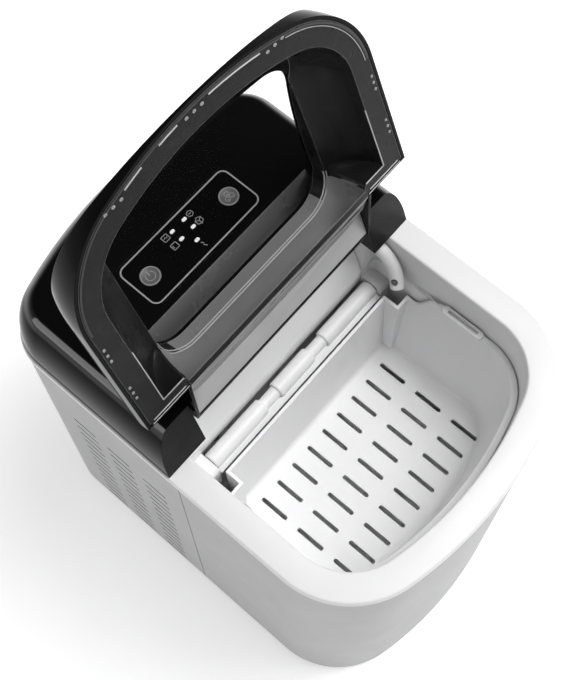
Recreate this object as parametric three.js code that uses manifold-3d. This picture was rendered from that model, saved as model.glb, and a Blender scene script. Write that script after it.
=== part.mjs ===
// Countertop ice maker. Millimetres, +Z up, the front of the machine faces -Y, +X to its right.
// The lid is shown open, leaning back on its stop; everything else is at rest.
import * as THREE from "three";
import { mergeVertices } from "three/addons/utils/BufferGeometryUtils.js";
import Module from "manifold-3d";

const wasm = await Module();
wasm.setup();

// ---- driving dimensions -------------------------------------------------------------------
const HALF_WIDTH = 114;
const FRONT = -157.5;
const REAR = 157.5;
const FOOT_HEIGHT = 6;
const WALL = 2.5;
const GAP = 0.4;
const SEAM_Y = -7;
const VENT_HALF = 1.1;

// Plan of the case: bowed front and rear, rounded corners, straight sides.
const CASE = {
  halfWidth: HALF_WIDTH, front: FRONT, frontRadius: 262, frontCorner: 61,
  rear: REAR, rearRadius: 310, rearCorner: 35,
};

const BASE_TOP = FOOT_HEIGHT + 3;
const DECK_TOP = 278.5;
const DECK_THICKNESS = 4.5;
const DECK_BOTTOM = DECK_TOP - DECK_THICKNESS;
const RIM_WIDTH = 19;

// Tub: the front mouth that takes the basket and the narrower freezing chamber behind it.
const TUB_FLOOR = 112;
const LEDGE_Z = 243.8;
const LEDGE_INSET = 22.2;
const TUB_FLOOR_INSET = 30;
const MOUTH_REAR = 8;
const CHAMBER_HALF = 80.5;
const CHAMBER_REAR = 64;
const CHAMBER_FLOOR = 150;

// Rear cover and lid share one dome profile.
const COVER_TOP = 322;
const COVER_INSET = 1.5;
const DOME_SIZE = 16;
const DOME_HEIGHT = 44;
const LID_SHOULDER = 20;
const LID_SHOULDER_HEIGHT = 41;
const EAR_LEAN = 0.24;
const RECESS_HALF = 80.4;
const RECESS_REAR = 46.5;
const RECESS_Z = 292;
const SLOPE_Y = 58;

// Lid, drawn closed and then turned about its hinge line.
const HINGE_Y = 28.2;
const HINGE_Z = 314.6;
const LID_OPEN = THREE.MathUtils.degToRad(110.7);
const LID_BOTTOM = 280.6;
const LID_TOP = 321.5;
const LID_WALL = 2.2;
const TAB_HALF = 79.4;
const TAB_REAR = 45;
const LID_REAR_GAP = 3;
const LID = {
  halfWidth: 111.2, front: -161.2, frontRadius: 213, frontCorner: 63, rear: 90,
};
const WINDOW = { halfWidth: 72.5, front: -121, frontRadius: 260, frontCorner: 26, rear: 7 };
const WINDOW_CORNER = 22;
const LINER_TOP = 308;
const BAY_HALF = 76.5;
const BAY_SHOULDER = -12;
const BAY_BACK = 23;
const BAY_CORNER = 18;
const BAY_Z = 295.5;
const LINER_MOUTH = { halfWidth: 95, front: -143.5, frontRadius: 196, frontCorner: 45, rear: -10 };

// Basket
const BASKET_HIGH = 247;
const BASKET_LOW = 230;
const BASKET_FLOOR = 152;
const BASKET_INSET = 22.8;
const BASKET_FLOOR_INSET = 31;
const BASKET_WALL = 2.2;
const BASKET_REAR = -11;
const NOTCH_X = 79.5;
const NOTCH_Y = -23.4;

// Freezing mechanism
const SHOVEL_Y = 0.5;
const SHOVEL_Z = 224;
const SHOVEL_RADIUS = 6;
const TRAY_Y = 38;
const TRAY_Z = 236;
const TRAY_RADIUS = 22;
const FINGER_COUNT = 9;
const FINGER_PITCH = 15;

// Control panel on the rear cover
const PANEL = { halfWidth: 49, y0: 64, y1: 100.5, thickness: 1.2 };
const BUTTON_X = 35.2;
const BUTTON_Y = 82.4;
const BUTTON_RADIUS = 6.5;
const LED_SPOTS = [[-5, 92.5], [5.8, 92.6], [-4.8, 84.9], [5.9, 85.1], [0.8, 77.3]];

// Refrigeration bay
const COMPRESSOR = { x: 52, y: 98, radius: 45, z0: 22, height: 118 };
const FAN = { y: 78, z: 64, radius: 38 };
const PUMP = { x: -52, y: 30, radius: 15.5 };
const DRAIN = { y: -60, z: 34 };
const CORD = { x: -78, z: 34 };

// ---- materials ----------------------------------------------------------------------------
const finish = (color, roughness, metalness = 0, opacity = 1) => new THREE.MeshStandardMaterial({
  color, roughness, metalness, opacity, transparent: opacity < 1,
});
const WHITE_PLASTIC = finish(0xf1f1f0, 0.42);
const CASE_GREY = finish(0xc9cacb, 0.5);
const GLOSS_BLACK = finish(0x0b0b0c, 0.08);
const SATIN_BLACK = finish(0x18181a, 0.5);
const SMOKE_CLEAR = finish(0x50545a, 0.1, 0, 0.55);
const WINDOW_CLEAR = finish(0xb9bdc2, 0.06, 0, 0.35);
const BUTTON_GREY = finish(0x55585c, 0.35);
const LED_WHITE = finish(0xf4f6f8, 0.3);
const STEEL = finish(0x9a9ea3, 0.35, 1);
const COPPER = finish(0xb87346, 0.35, 1);
const ALUMINIUM = finish(0xc4c8cb, 0.4, 1);
const RUBBER = finish(0x2a2a2b, 0.85);
const FOAM = finish(0xe9e6dc, 0.9);
const CIRCUIT_GREEN = finish(0x1f5a38, 0.55);
const NYLON = finish(0xdcd8cc, 0.5);
const COMPRESSOR_BLACK = finish(0x202224, 0.45, 0.2);

// ---- solid helpers --------------------------------------------------------------------------
function solid(geometry) {
  const bare = geometry.clone();
  bare.deleteAttribute("normal");
  bare.deleteAttribute("uv");
  const welded = mergeVertices(bare, 1e-4);
  return new wasm.Manifold(new wasm.Mesh({
    numProp: 3,
    vertProperties: new Float32Array(welded.attributes.position.array),
    triVerts: new Uint32Array(welded.index.array),
  }));
}

function part(name, shape, material) {
  const { vertProperties, triVerts } = shape.getMesh();
  const geometry = new THREE.BufferGeometry();
  geometry.setAttribute("position", new THREE.BufferAttribute(vertProperties, 3));
  geometry.setIndex(new THREE.BufferAttribute(triVerts, 1));
  geometry.computeVertexNormals();
  const mesh = new THREE.Mesh(geometry, material);
  mesh.name = name;
  return mesh;
}

function box(x0, x1, y0, y1, z0, z1) {
  const geometry = new THREE.BoxGeometry(x1 - x0, y1 - y0, z1 - z0);
  geometry.translate((x0 + x1) / 2, (y0 + y1) / 2, (z0 + z1) / 2);
  return solid(geometry);
}

// A round bar from z0 to z1; the X and Y versions lie along those axes.
function rodZ(x, y, z0, z1, radius, sides = 20, topRadius = radius) {
  const geometry = new THREE.CylinderGeometry(topRadius, radius, z1 - z0, sides);
  geometry.rotateX(Math.PI / 2);
  geometry.translate(x, y, (z0 + z1) / 2);
  return solid(geometry);
}

function rodX(x0, x1, y, z, radius, sides = 20) {
  const geometry = new THREE.CylinderGeometry(radius, radius, x1 - x0, sides);
  geometry.rotateZ(Math.PI / 2);
  geometry.translate((x0 + x1) / 2, y, z);
  return solid(geometry);
}

function rodY(x, y0, y1, z, radius, sides = 20) {
  const geometry = new THREE.CylinderGeometry(radius, radius, y1 - y0, sides);
  geometry.translate(x, (y0 + y1) / 2, z);
  return solid(geometry);
}

// An outline seen from above, raised from z0 to z1.
function slab(shape, z0, z1, curveSegments = 5) {
  const geometry = new THREE.ExtrudeGeometry(shape, {
    depth: z1 - z0, bevelEnabled: false, curveSegments,
  });
  geometry.translate(0, 0, z0);
  return solid(geometry);
}

// An outline in the YZ plane, carried from x0 to x1.
function sideProfile(shape, x0, x1, curveSegments = 6) {
  const geometry = new THREE.ExtrudeGeometry(shape, {
    depth: x1 - x0, bevelEnabled: false, curveSegments,
  });
  geometry.applyMatrix4(new THREE.Matrix4().makeBasis(
    new THREE.Vector3(0, 1, 0), new THREE.Vector3(0, 0, 1), new THREE.Vector3(1, 0, 0),
  ));
  geometry.translate(x0, 0, 0);
  return solid(geometry);
}

function polygon(points) {
  return new THREE.Shape(points.map(([a, b]) => new THREE.Vector2(a, b)));
}

function rectangle(x0, x1, y0, y1, radius) {
  const shape = new THREE.Shape();
  shape.moveTo(x1, y0 + radius);
  shape.absarc(x1 - radius, y1 - radius, radius, 0, Math.PI / 2);
  shape.absarc(x0 + radius, y1 - radius, radius, Math.PI / 2, Math.PI);
  shape.absarc(x0 + radius, y0 + radius, radius, Math.PI, 1.5 * Math.PI);
  shape.absarc(x1 - radius, y0 + radius, radius, 1.5 * Math.PI, 2 * Math.PI);
  return shape;
}

// A smooth tube through hand-placed points.
function tube(points, radius, steps, sides = 10) {
  const section = new THREE.Shape();
  section.absarc(0, 0, radius, 0, 2 * Math.PI);
  const path = new THREE.CatmullRomCurve3(points.map((p) => new THREE.Vector3(...p)));
  return solid(new THREE.ExtrudeGeometry(section, {
    steps, extrudePath: path, bevelEnabled: false, curveSegments: sides / 2,
  }));
}

// Plan outline with a bowed front; the rear is bowed too when rearRadius is given, else straight.
function planOutline(plan, inset = 0, rearCorner = 0.5) {
  const { halfWidth, front, frontRadius, frontCorner, rear, rearRadius } = plan;
  const shape = new THREE.Shape();
  const side = halfWidth - inset;
  const cornerX = halfWidth - frontCorner;
  const bowY = front + frontRadius;
  const cornerY = bowY - Math.sqrt((frontRadius - frontCorner) ** 2 - cornerX ** 2);
  const turn = Math.atan2(cornerY - bowY, cornerX);
  shape.moveTo(side, cornerY);
  if (rearRadius) {
    const rearX = halfWidth - plan.rearCorner;
    const rearBowY = rear - rearRadius;
    const rearY = rearBowY + Math.sqrt((rearRadius - plan.rearCorner) ** 2 - rearX ** 2);
    const rearTurn = Math.atan2(rearY - rearBowY, rearX);
    shape.absarc(rearX, rearY, plan.rearCorner - inset, 0, rearTurn);
    shape.absarc(0, rearBowY, rearRadius - inset, rearTurn, Math.PI - rearTurn);
    shape.absarc(-rearX, rearY, plan.rearCorner - inset, Math.PI - rearTurn, Math.PI);
  } else {
    const back = rear - inset;
    shape.absarc(side - rearCorner, back - rearCorner, rearCorner, 0, Math.PI / 2);
    shape.absarc(-side + rearCorner, back - rearCorner, rearCorner, Math.PI / 2, Math.PI);
  }
  shape.absarc(-cornerX, cornerY, frontCorner - inset, Math.PI, Math.PI - turn);
  shape.absarc(0, bowY, frontRadius - inset, Math.PI - turn, 2 * Math.PI + turn);
  shape.absarc(cornerX, cornerY, frontCorner - inset, 2 * Math.PI + turn, 2 * Math.PI);
  return shape;
}

// A solid through rings of matching points, each ring a list of 3-D points seen from above.
function loft(rings) {
  const count = rings[0].length;
  const index = [];
  for (let level = 0; level < rings.length - 1; level += 1) {
    const low = level * count;
    const high = low + count;
    for (let i = 0; i < count; i += 1) {
      const j = (i + 1) % count;
      index.push(low + i, low + j, high + j, low + i, high + j, high + i);
    }
  }
  const top = (rings.length - 1) * count;
  const foot = rings[0].map((p) => new THREE.Vector2(p.x, p.y));
  const head = rings.at(-1).map((p) => new THREE.Vector2(p.x, p.y));
  for (const [a, b, c] of THREE.ShapeUtils.triangulateShape(foot, [])) {
    index.push(c, b, a);
  }
  for (const [a, b, c] of THREE.ShapeUtils.triangulateShape(head, [])) {
    index.push(top + a, top + b, top + c);
  }
  const geometry = new THREE.BufferGeometry().setFromPoints(rings.flat());
  geometry.setIndex(index);
  return solid(geometry);
}

function ringPoints(shape, divisions) {
  const points = shape.getPoints(divisions);
  return points.filter((p, i) => p.distanceTo(points.at(i - 1)) > 1e-4);
}

// A tapered solid between two outlines that have the same make-up of arcs.
function taper(lower, z0, upper, z1, divisions = 5) {
  return loft([[lower, z0], [upper, z1]].map(
    ([shape, z]) => ringPoints(shape, divisions).map((p) => new THREE.Vector3(p.x, p.y, z)),
  ));
}

// Where a ray from the centre at the given angle leaves a closed outline.
function rayExit(points, centre, angle) {
  const ray = new THREE.Vector2(Math.cos(angle), Math.sin(angle));
  for (let i = 0; i < points.length; i += 1) {
    const from = points[i].clone().sub(centre);
    const side = points[(i + 1) % points.length].clone().sub(centre).sub(from);
    const denominator = ray.cross(side);
    const reach = from.cross(side) / denominator;
    const share = from.cross(ray) / denominator;
    if (reach > 0 && share >= -1e-9 && share <= 1 + 1e-9) {
      return ray.clone().multiplyScalar(reach).add(centre);
    }
  }
  return null;
}

// The rounded crown that the rear cover and the lid are cut from: steep sides, elliptic shoulders.
function dome(plan, inset, top, wall, bevelSize = DOME_SIZE, bevelHeight = DOME_HEIGHT) {
  const depth = 40;
  const height = bevelHeight - wall;
  const geometry = new THREE.ExtrudeGeometry(planOutline(plan, inset + bevelSize), {
    depth, bevelEnabled: true, bevelSize: bevelSize - wall, bevelThickness: height,
    bevelSegments: 5, curveSegments: 5,
  });
  geometry.translate(0, 0, top - wall - height - depth);
  return solid(geometry);
}

// ---- case ----------------------------------------------------------------------------------
function basePlate() {
  const plate = slab(planOutline(CASE, WALL + 0.8), FOOT_HEIGHT, BASE_TOP + 9, 5);
  const tray = slab(planOutline(CASE, WALL + 3), BASE_TOP, BASE_TOP + 10, 5);
  return part("base_plate", plate.subtract(tray), SATIN_BLACK);
}

function foot(name, x, y) {
  const pad = rodZ(x, y, 0, FOOT_HEIGHT - 0.3, 11, 24, 9.5);
  return part(name, pad, RUBBER);
}

// Rows of thin cooling slots through one side wall.
function ventSlots(side) {
  const slots = [];
  const rows = 13;
  for (const y of [11.8, 43.8, 74.5]) {
    for (let row = 0; row < rows; row += 1) {
      const z = 18 + row * 15.4;
      const x = side * (HALF_WIDTH - WALL / 2);
      slots.push(box(x - 4, x + 4, y, y + 20, z - VENT_HALF, z + VENT_HALF));
    }
  }
  return wasm.Manifold.union(slots);
}

function caseWall() {
  return slab(planOutline(CASE, 0.6), FOOT_HEIGHT + 2, DECK_BOTTOM - 0.3)
    .subtract(slab(planOutline(CASE, WALL + 0.6), FOOT_HEIGHT, DECK_BOTTOM + 1));
}

function frontShell() {
  const keep = box(-130, 130, -200, SEAM_Y - 0.35, 0, 300);
  const drainHole = rodX(100, 120, DRAIN.y, DRAIN.z, 11.6, 28);
  const shell = caseWall().intersect(keep).subtract(drainHole);
  return part("front_shell", shell, CASE_GREY);
}

function rearShell() {
  const keep = box(-130, 130, SEAM_Y + 0.35, 200, 0, 300);
  let shell = caseWall().intersect(keep).subtract(ventSlots(-1)).subtract(ventSlots(1));
  const grille = [];
  for (let row = 0; row < 9; row += 1) {
    const z = 60 + row * 14;
    grille.push(box(-40, 40, 140, 170, z - 1.2, z + 1.2));
  }
  const cordHole = rodY(CORD.x, 130, 170, CORD.z, 9, 16);
  shell = shell.subtract(wasm.Manifold.union(grille)).subtract(cordHole);
  return part("rear_shell", shell, CASE_GREY);
}

// The front of the case plan, drawn in by an inset and closed by a straight back at a stated y.
function frontOutline(inset, backY, backCorner = 4) {
  return planOutline({ ...CASE, rear: backY + inset, rearRadius: 0 }, inset, backCorner);
}

// Top deck moulded in one with the tub that holds the basket and the water.
function tubSpace(grow) {
  const back = MOUTH_REAR + grow;
  const mouth = taper(
    frontOutline(RIM_WIDTH + 0.8 - grow, back), LEDGE_Z - grow,
    frontOutline(RIM_WIDTH - grow, back), DECK_TOP + 1,
  );
  const well = taper(
    frontOutline(TUB_FLOOR_INSET - grow, back), TUB_FLOOR + WALL - grow,
    frontOutline(LEDGE_INSET - grow, back), LEDGE_Z + 0.1,
  );
  const chamber = box(
    -CHAMBER_HALF - grow, CHAMBER_HALF + grow, 0, CHAMBER_REAR + grow,
    CHAMBER_FLOOR - grow, DECK_TOP + 1,
  );
  return mouth.add(well).add(chamber);
}

function deckAndTub() {
  const plate = slab(planOutline(CASE), DECK_BOTTOM, DECK_TOP - 1.2, 8);
  const crown = taper(planOutline(CASE), DECK_TOP - 1.2, planOutline(CASE, 1), DECK_TOP, 8);
  const underCover = slab(rectangle(-96, 96, CHAMBER_REAR + 8, 138, 6), DECK_BOTTOM - 1, DECK_TOP + 1);
  const locatingRib = slab(planOutline(CASE, WALL + 1), DECK_BOTTOM - 8, DECK_BOTTOM + 0.5, 4)
    .subtract(slab(planOutline(CASE, WALL + 3), DECK_BOTTOM - 9, DECK_BOTTOM + 0.4, 4));
  const tub = tubSpace(WALL).intersect(box(-120, 120, -170, 100, 90, DECK_BOTTOM + 0.5));
  let deck = plate.add(crown).add(locatingRib).subtract(underCover);
  deck = deck.add(tub).subtract(tubSpace(0));
  const pivots = [-1, 1].map((side) => {
    const x = side * (CHAMBER_HALF + 8);
    return box(x - 7.9, x + 7.9, SHOVEL_Y - 9, MOUTH_REAR + 2, SHOVEL_Z - 22, SHOVEL_Z + 5.5);
  });
  deck = deck.add(wasm.Manifold.union(pivots));
  deck = deck.subtract(rodX(-86, 86, SHOVEL_Y, SHOVEL_Z, 2.7, 16));
  deck = deck.subtract(rodX(-86, 86, TRAY_Y, TRAY_Z, 3.8, 20));
  deck = deck.subtract(rodZ(0, DRAIN.y, TUB_FLOOR - 4, TUB_FLOOR + 6, 4.6, 16));
  deck = deck.subtract(rodZ(PUMP.x, PUMP.y, CHAMBER_FLOOR - 6, CHAMBER_FLOOR + 4, 4.6, 16));
  deck = deck.subtract(rodY(62, CHAMBER_REAR - 4, CHAMBER_REAR + 6, 262.5, 4, 12));
  return part("deck_and_tub", deck, WHITE_PLASTIC);
}

function tubInsulation() {
  const outer = slab(frontOutline(WALL + 4, -18), 96, 262);
  const inner = slab(frontOutline(RIM_WIDTH - WALL - 0.6, 10), 108, 270);
  const drain = rodZ(0, DRAIN.y, 90, TUB_FLOOR, 8, 16);
  return part("tub_insulation", outer.subtract(inner).subtract(drain), FOAM);
}

// ---- rear cover ------------------------------------------------------------------------------
// Space behind the slanted ear faces and outside the hinge recess, drawn in by g.
function coverRegion(g) {
  const low = DECK_TOP - 20;
  const high = COVER_TOP + 10;
  const earY = (z) => g + EAR_LEAN * (z - DECK_TOP);
  const behindEars = sideProfile(polygon([
    [earY(low), low], [200, low], [200, high], [earY(high), high],
  ]), -130, 130);
  const slope = new THREE.Shape();
  slope.moveTo(-60, DECK_TOP - 30);
  slope.lineTo(RECESS_REAR + g, DECK_TOP - 30);
  slope.lineTo(RECESS_REAR + g, RECESS_Z);
  slope.lineTo(SLOPE_Y - 1.5 + g, COVER_TOP - 2.2);
  slope.lineTo(SLOPE_Y + 1.2 + g, COVER_TOP);
  slope.lineTo(SLOPE_Y + 1.2 + g, COVER_TOP + 12);
  slope.lineTo(-60, COVER_TOP + 12);
  const recess = sideProfile(slope, -RECESS_HALF - g, RECESS_HALF + g);
  return behindEars.subtract(recess);
}

function rearCover() {
  const outer = dome(CASE, COVER_INSET, COVER_TOP, 0).intersect(coverRegion(0))
    .intersect(box(-130, 130, -10, 170, DECK_TOP + 0.3, 340));
  const inner = dome(CASE, COVER_INSET, COVER_TOP, WALL).intersect(coverRegion(WALL));
  const bosses = [-1, 1].map((side) => {
    const x = side * (RECESS_HALF + 5);
    return box(x - 4.9, x + 4.9, HINGE_Y - 8, HINGE_Y + 8, HINGE_Z - 9, HINGE_Z + 6);
  });
  let cover = outer.subtract(inner).add(wasm.Manifold.union(bosses).intersect(outer));
  cover = cover.subtract(rodX(-90.6, 90.6, HINGE_Y, HINGE_Z, 5.4, 24));
  const pocket = slab(
    rectangle(-PANEL.halfWidth, PANEL.halfWidth, PANEL.y0, PANEL.y1, 5),
    COVER_TOP - PANEL.thickness, COVER_TOP + 2,
  );
  const well = box(-42, 42, PANEL.y0 + 5, PANEL.y1 - 3.5, COVER_TOP - 6, COVER_TOP);
  return part("rear_cover", cover.subtract(pocket).subtract(well), GLOSS_BLACK);
}

function controlPanel() {
  const { halfWidth, y0, y1, thickness } = PANEL;
  let plate = slab(
    rectangle(-halfWidth + 0.3, halfWidth - 0.3, y0 + 0.3, y1 - 0.3, 4.8),
    COVER_TOP - thickness + 0.3, COVER_TOP,
  );
  for (const side of [-1, 1]) {
    plate = plate.subtract(rodZ(side * BUTTON_X, BUTTON_Y, 310, 330, BUTTON_RADIUS + 0.4, 28));
  }
  for (const [x, y] of LED_SPOTS) {
    plate = plate.subtract(box(x - 2.1, x + 2.1, y - 1.4, y + 1.4, 310, 330));
  }
  return part("control_panel", plate, GLOSS_BLACK);
}

function pushButton(name, x) {
  const cap = rodZ(x, BUTTON_Y, COVER_TOP - 3, COVER_TOP + 0.4, BUTTON_RADIUS, 28);
  const collar = rodZ(x, BUTTON_Y, COVER_TOP - 4.2, COVER_TOP - 2.6, BUTTON_RADIUS + 0.9, 28);
  const stem = rodZ(x, BUTTON_Y, COVER_TOP - 7.2, COVER_TOP - 4, 1.6, 12);
  return part(name, cap.add(collar).add(stem), BUTTON_GREY);
}

function ledLightGuide() {
  const prongs = LED_SPOTS.map(([x, y]) => box(
    x - 1.8, x + 1.8, y - 1.1, y + 1.1, 316.2, COVER_TOP - 0.1,
  ));
  const bridge = box(-8, 8, 74, 96, 314.8, 316.4);
  return part("led_light_guide", wasm.Manifold.union(prongs).add(bridge), LED_WHITE);
}

function controlBoard() {
  const board = box(-46, 46, 67, 98, 309, 310.6);
  const switches = [-1, 1].map((side) => box(
    side * BUTTON_X - 3, side * BUTTON_X + 3, BUTTON_Y - 3, BUTTON_Y + 3, 310.4, 313.6,
  ));
  const connector = box(12, 22, 70, 76, 310.4, 314);
  return part("control_board", board.add(wasm.Manifold.union(switches)).add(connector), CIRCUIT_GREEN);
}

// Sleeve pressed into the cover beside the recess; the lid's pin turns in it.
function hingeBush(name, side) {
  const x0 = RECESS_HALF + 0.4;
  const x1 = RECESS_HALF + 9.4;
  const sleeve = rodX(x0, x1, HINGE_Y, HINGE_Z, 5.1, 24);
  const bore = rodX(x0 - 1, x1 + 1, HINGE_Y, HINGE_Z, 3.4, 20);
  const bush = sleeve.subtract(bore);
  return part(name, side > 0 ? bush : bush.mirror([1, 0, 0]), NYLON);
}

// ---- lid (closed position) --------------------------------------------------------------------
// The outline of the lid: wide in front of the ears, a narrower tab between them, drawn in by g.
function lidRegion(g) {
  const lean = (z) => -LID_REAR_GAP + EAR_LEAN * (z - LID_BOTTOM) - g;
  const wide = sideProfile(polygon([
    [-200, LID_BOTTOM - 20], [lean(LID_BOTTOM - 20), LID_BOTTOM - 20],
    [lean(LID_TOP + 20), LID_TOP + 20], [-200, LID_TOP + 20],
  ]), -120, 120);
  const tab = sideProfile(polygon([
    [-60, LID_BOTTOM - 20], [TAB_REAR - g, LID_BOTTOM - 20], [TAB_REAR - g, LID_TOP + 20],
    [-60, LID_TOP + 20],
  ]), -TAB_HALF + g, TAB_HALF - g);
  return wide.add(tab);
}

// What lies above the lid's lower edge, which rises towards the hinge on the tab.
function aboveLidEdge(lift) {
  return sideProfile(polygon([
    [-200, LID_BOTTOM + lift], [-LID_REAR_GAP, LID_BOTTOM + lift], [TAB_REAR, 296 + lift],
    [90, 300 + lift], [90, 360], [-200, 360],
  ]), -130, 130);
}

// The top falls away in a long curve towards the front edge.
function underLidCrown(drop) {
  const shape = new THREE.Shape();
  const crown = 300;
  const flatEnd = -14;
  shape.moveTo(90, 200);
  shape.lineTo(90, LID_TOP - drop);
  shape.lineTo(flatEnd, LID_TOP - drop);
  shape.absarc(flatEnd, LID_TOP - crown, crown - drop, Math.PI / 2, Math.PI / 2 + 0.58);
  shape.lineTo(flatEnd - 190, 200);
  return sideProfile(shape, -130, 130, 12);
}

function lidBody(wall, lift) {
  return dome(LID, 0, LID_TOP, wall, LID_SHOULDER, LID_SHOULDER_HEIGHT)
    .intersect(lidRegion(wall))
    .intersect(underLidCrown(wall))
    .intersect(aboveLidEdge(lift));
}

function windowPrism(inset) {
  return slab(planOutline(WINDOW, inset, WINDOW_CORNER - inset), 290, 330, 6);
}

function lidShell() {
  const skin = lidBody(0, 0).subtract(lidBody(LID_WALL, -5));
  return part("lid_shell", skin.subtract(windowPrism(0)), GLOSS_BLACK);
}

function lidWindow() {
  const skin = lidBody(0.2, 0).subtract(lidBody(LID_WALL, -5));
  return part("lid_window", skin.intersect(windowPrism(0.3)), WINDOW_CLEAR);
}

// The liner's mouth seen from above: the wide front part, then a round-cornered bay in the tab.
function linerMouth() {
  const { halfWidth, front, frontRadius, frontCorner } = LINER_MOUTH;
  const cornerX = halfWidth - frontCorner;
  const bowY = front + frontRadius;
  const cornerY = bowY - Math.sqrt((frontRadius - frontCorner) ** 2 - cornerX ** 2);
  const turn = Math.atan2(cornerY - bowY, cornerX);
  const shape = new THREE.Shape();
  shape.moveTo(halfWidth, cornerY);
  shape.absarc(halfWidth - 3, BAY_SHOULDER - 3, 3, 0, Math.PI / 2);
  shape.lineTo(BAY_HALF + 3, BAY_SHOULDER);
  shape.lineTo(BAY_HALF, BAY_SHOULDER + 3);
  shape.absarc(BAY_HALF - BAY_CORNER, BAY_BACK - BAY_CORNER, BAY_CORNER, 0, Math.PI / 2);
  shape.absarc(BAY_CORNER - BAY_HALF, BAY_BACK - BAY_CORNER, BAY_CORNER, Math.PI / 2, Math.PI);
  shape.lineTo(-BAY_HALF, BAY_SHOULDER + 3);
  shape.lineTo(-BAY_HALF - 3, BAY_SHOULDER);
  shape.absarc(3 - halfWidth, BAY_SHOULDER - 3, 3, Math.PI / 2, Math.PI);
  shape.absarc(-cornerX, cornerY, frontCorner, Math.PI, Math.PI - turn);
  shape.absarc(0, bowY, frontRadius, Math.PI - turn, 2 * Math.PI + turn);
  shape.absarc(cornerX, cornerY, frontCorner, 2 * Math.PI + turn, 2 * Math.PI);
  return shape;
}

// Height of the liner's lower face: level in front, rising along the sides of the bay.
function linerEdgeZ(y) {
  const share = THREE.MathUtils.clamp((y + LID_REAR_GAP) / (BAY_BACK + LID_REAR_GAP), 0, 1);
  return LID_BOTTOM + (BAY_Z - LID_BOTTOM) * share;
}

// The space inside the liner, or its outer face when grown: concave walls from mouth to window.
function linerSpace(grow) {
  const centre = new THREE.Vector2(0, -45);
  const mouth = ringPoints(linerMouth(), 5);
  const eye = ringPoints(planOutline(WINDOW, 0, WINDOW_CORNER), 8);
  const levels = 7;
  const rings = [];
  for (let level = 0; level <= levels; level += 1) {
    const turn = (level / levels) * (Math.PI / 2);
    const inward = 0.5 * (level / levels) + 0.5 * (1 - Math.cos(turn));
    const upward = 0.5 * (level / levels) + 0.5 * Math.sin(turn);
    rings.push(mouth.map((p) => {
      const angle = Math.atan2(p.y - centre.y, p.x - centre.x);
      const out = new THREE.Vector2(Math.cos(angle), Math.sin(angle)).multiplyScalar(grow);
      const at = p.clone().lerp(rayExit(eye, centre, angle), inward).add(out);
      const start = linerEdgeZ(p.y) - (grow ? 0 : 0.01);
      return new THREE.Vector3(at.x, at.y, start + (LINER_TOP - start) * upward);
    }));
  }
  rings.push(rings.at(-1).map((p) => new THREE.Vector3(p.x, p.y, 335)));
  return loft(rings);
}

function lidLiner() {
  const clear = LID_WALL + 0.4;
  const wall = 1.8;
  const rim = slab(planOutline({ ...LID, rear: 90 }, clear), LID_BOTTOM, LID_BOTTOM + wall)
    .intersect(box(-130, 130, -200, -LID_REAR_GAP, 270, 300));
  const tabFlange = sideProfile(polygon([
    [-LID_REAR_GAP - 1, LID_BOTTOM], [-LID_REAR_GAP, LID_BOTTOM], [BAY_BACK, BAY_Z],
    [TAB_REAR, BAY_Z + 0.7], [TAB_REAR, BAY_Z + 0.7 + wall], [BAY_BACK, BAY_Z + wall],
    [-LID_REAR_GAP, LID_BOTTOM + wall], [-LID_REAR_GAP - 1, LID_BOTTOM + wall],
  ]), -TAB_HALF + clear, TAB_HALF - clear);
  const inside = dome(LID, 0, LID_TOP, clear, LID_SHOULDER, LID_SHOULDER_HEIGHT)
    .intersect(lidRegion(clear)).intersect(underLidCrown(clear)).intersect(aboveLidEdge(0.2));
  const liner = rim.add(tabFlange).add(linerSpace(wall)).subtract(linerSpace(0)).intersect(inside);
  return part("lid_liner", liner, SMOKE_CLEAR);
}

function lidHingePin(name, side) {
  const pin = rodX(TAB_HALF + 0.3, RECESS_HALF + 9, HINGE_Y, HINGE_Z, 3, 20);
  return part(name, side > 0 ? pin : pin.mirror([1, 0, 0]), STEEL);
}

// ---- basket ---------------------------------------------------------------------------------
function basketSpace(grow, floorZ) {
  const back = BASKET_REAR - grow;
  return taper(
    frontOutline(BASKET_FLOOR_INSET + grow, back - 4, 3), floorZ,
    frontOutline(BASKET_INSET + grow, back, 3), BASKET_HIGH + 0.5,
  );
}

function notches(grow) {
  return wasm.Manifold.union([-1, 1].map((side) => {
    const x0 = side > 0 ? NOTCH_X - grow : -130;
    const x1 = side > 0 ? 130 : -NOTCH_X + grow;
    return box(x0, x1, NOTCH_Y - grow, 30, 100, 300);
  }));
}

// The rim is high round the front and drops in an S-curve to the low rear edge.
function underBasketRim(lower) {
  const shape = new THREE.Shape();
  shape.moveTo(-200, 100);
  shape.lineTo(40, 100);
  shape.lineTo(40, BASKET_LOW - lower);
  shape.lineTo(-29, BASKET_LOW - lower);
  shape.bezierCurveTo(-37, BASKET_LOW - lower, -36, BASKET_HIGH - lower, -45, BASKET_HIGH - lower);
  shape.lineTo(-200, BASKET_HIGH - lower);
  return sideProfile(shape, -130, 130, 6);
}

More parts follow.
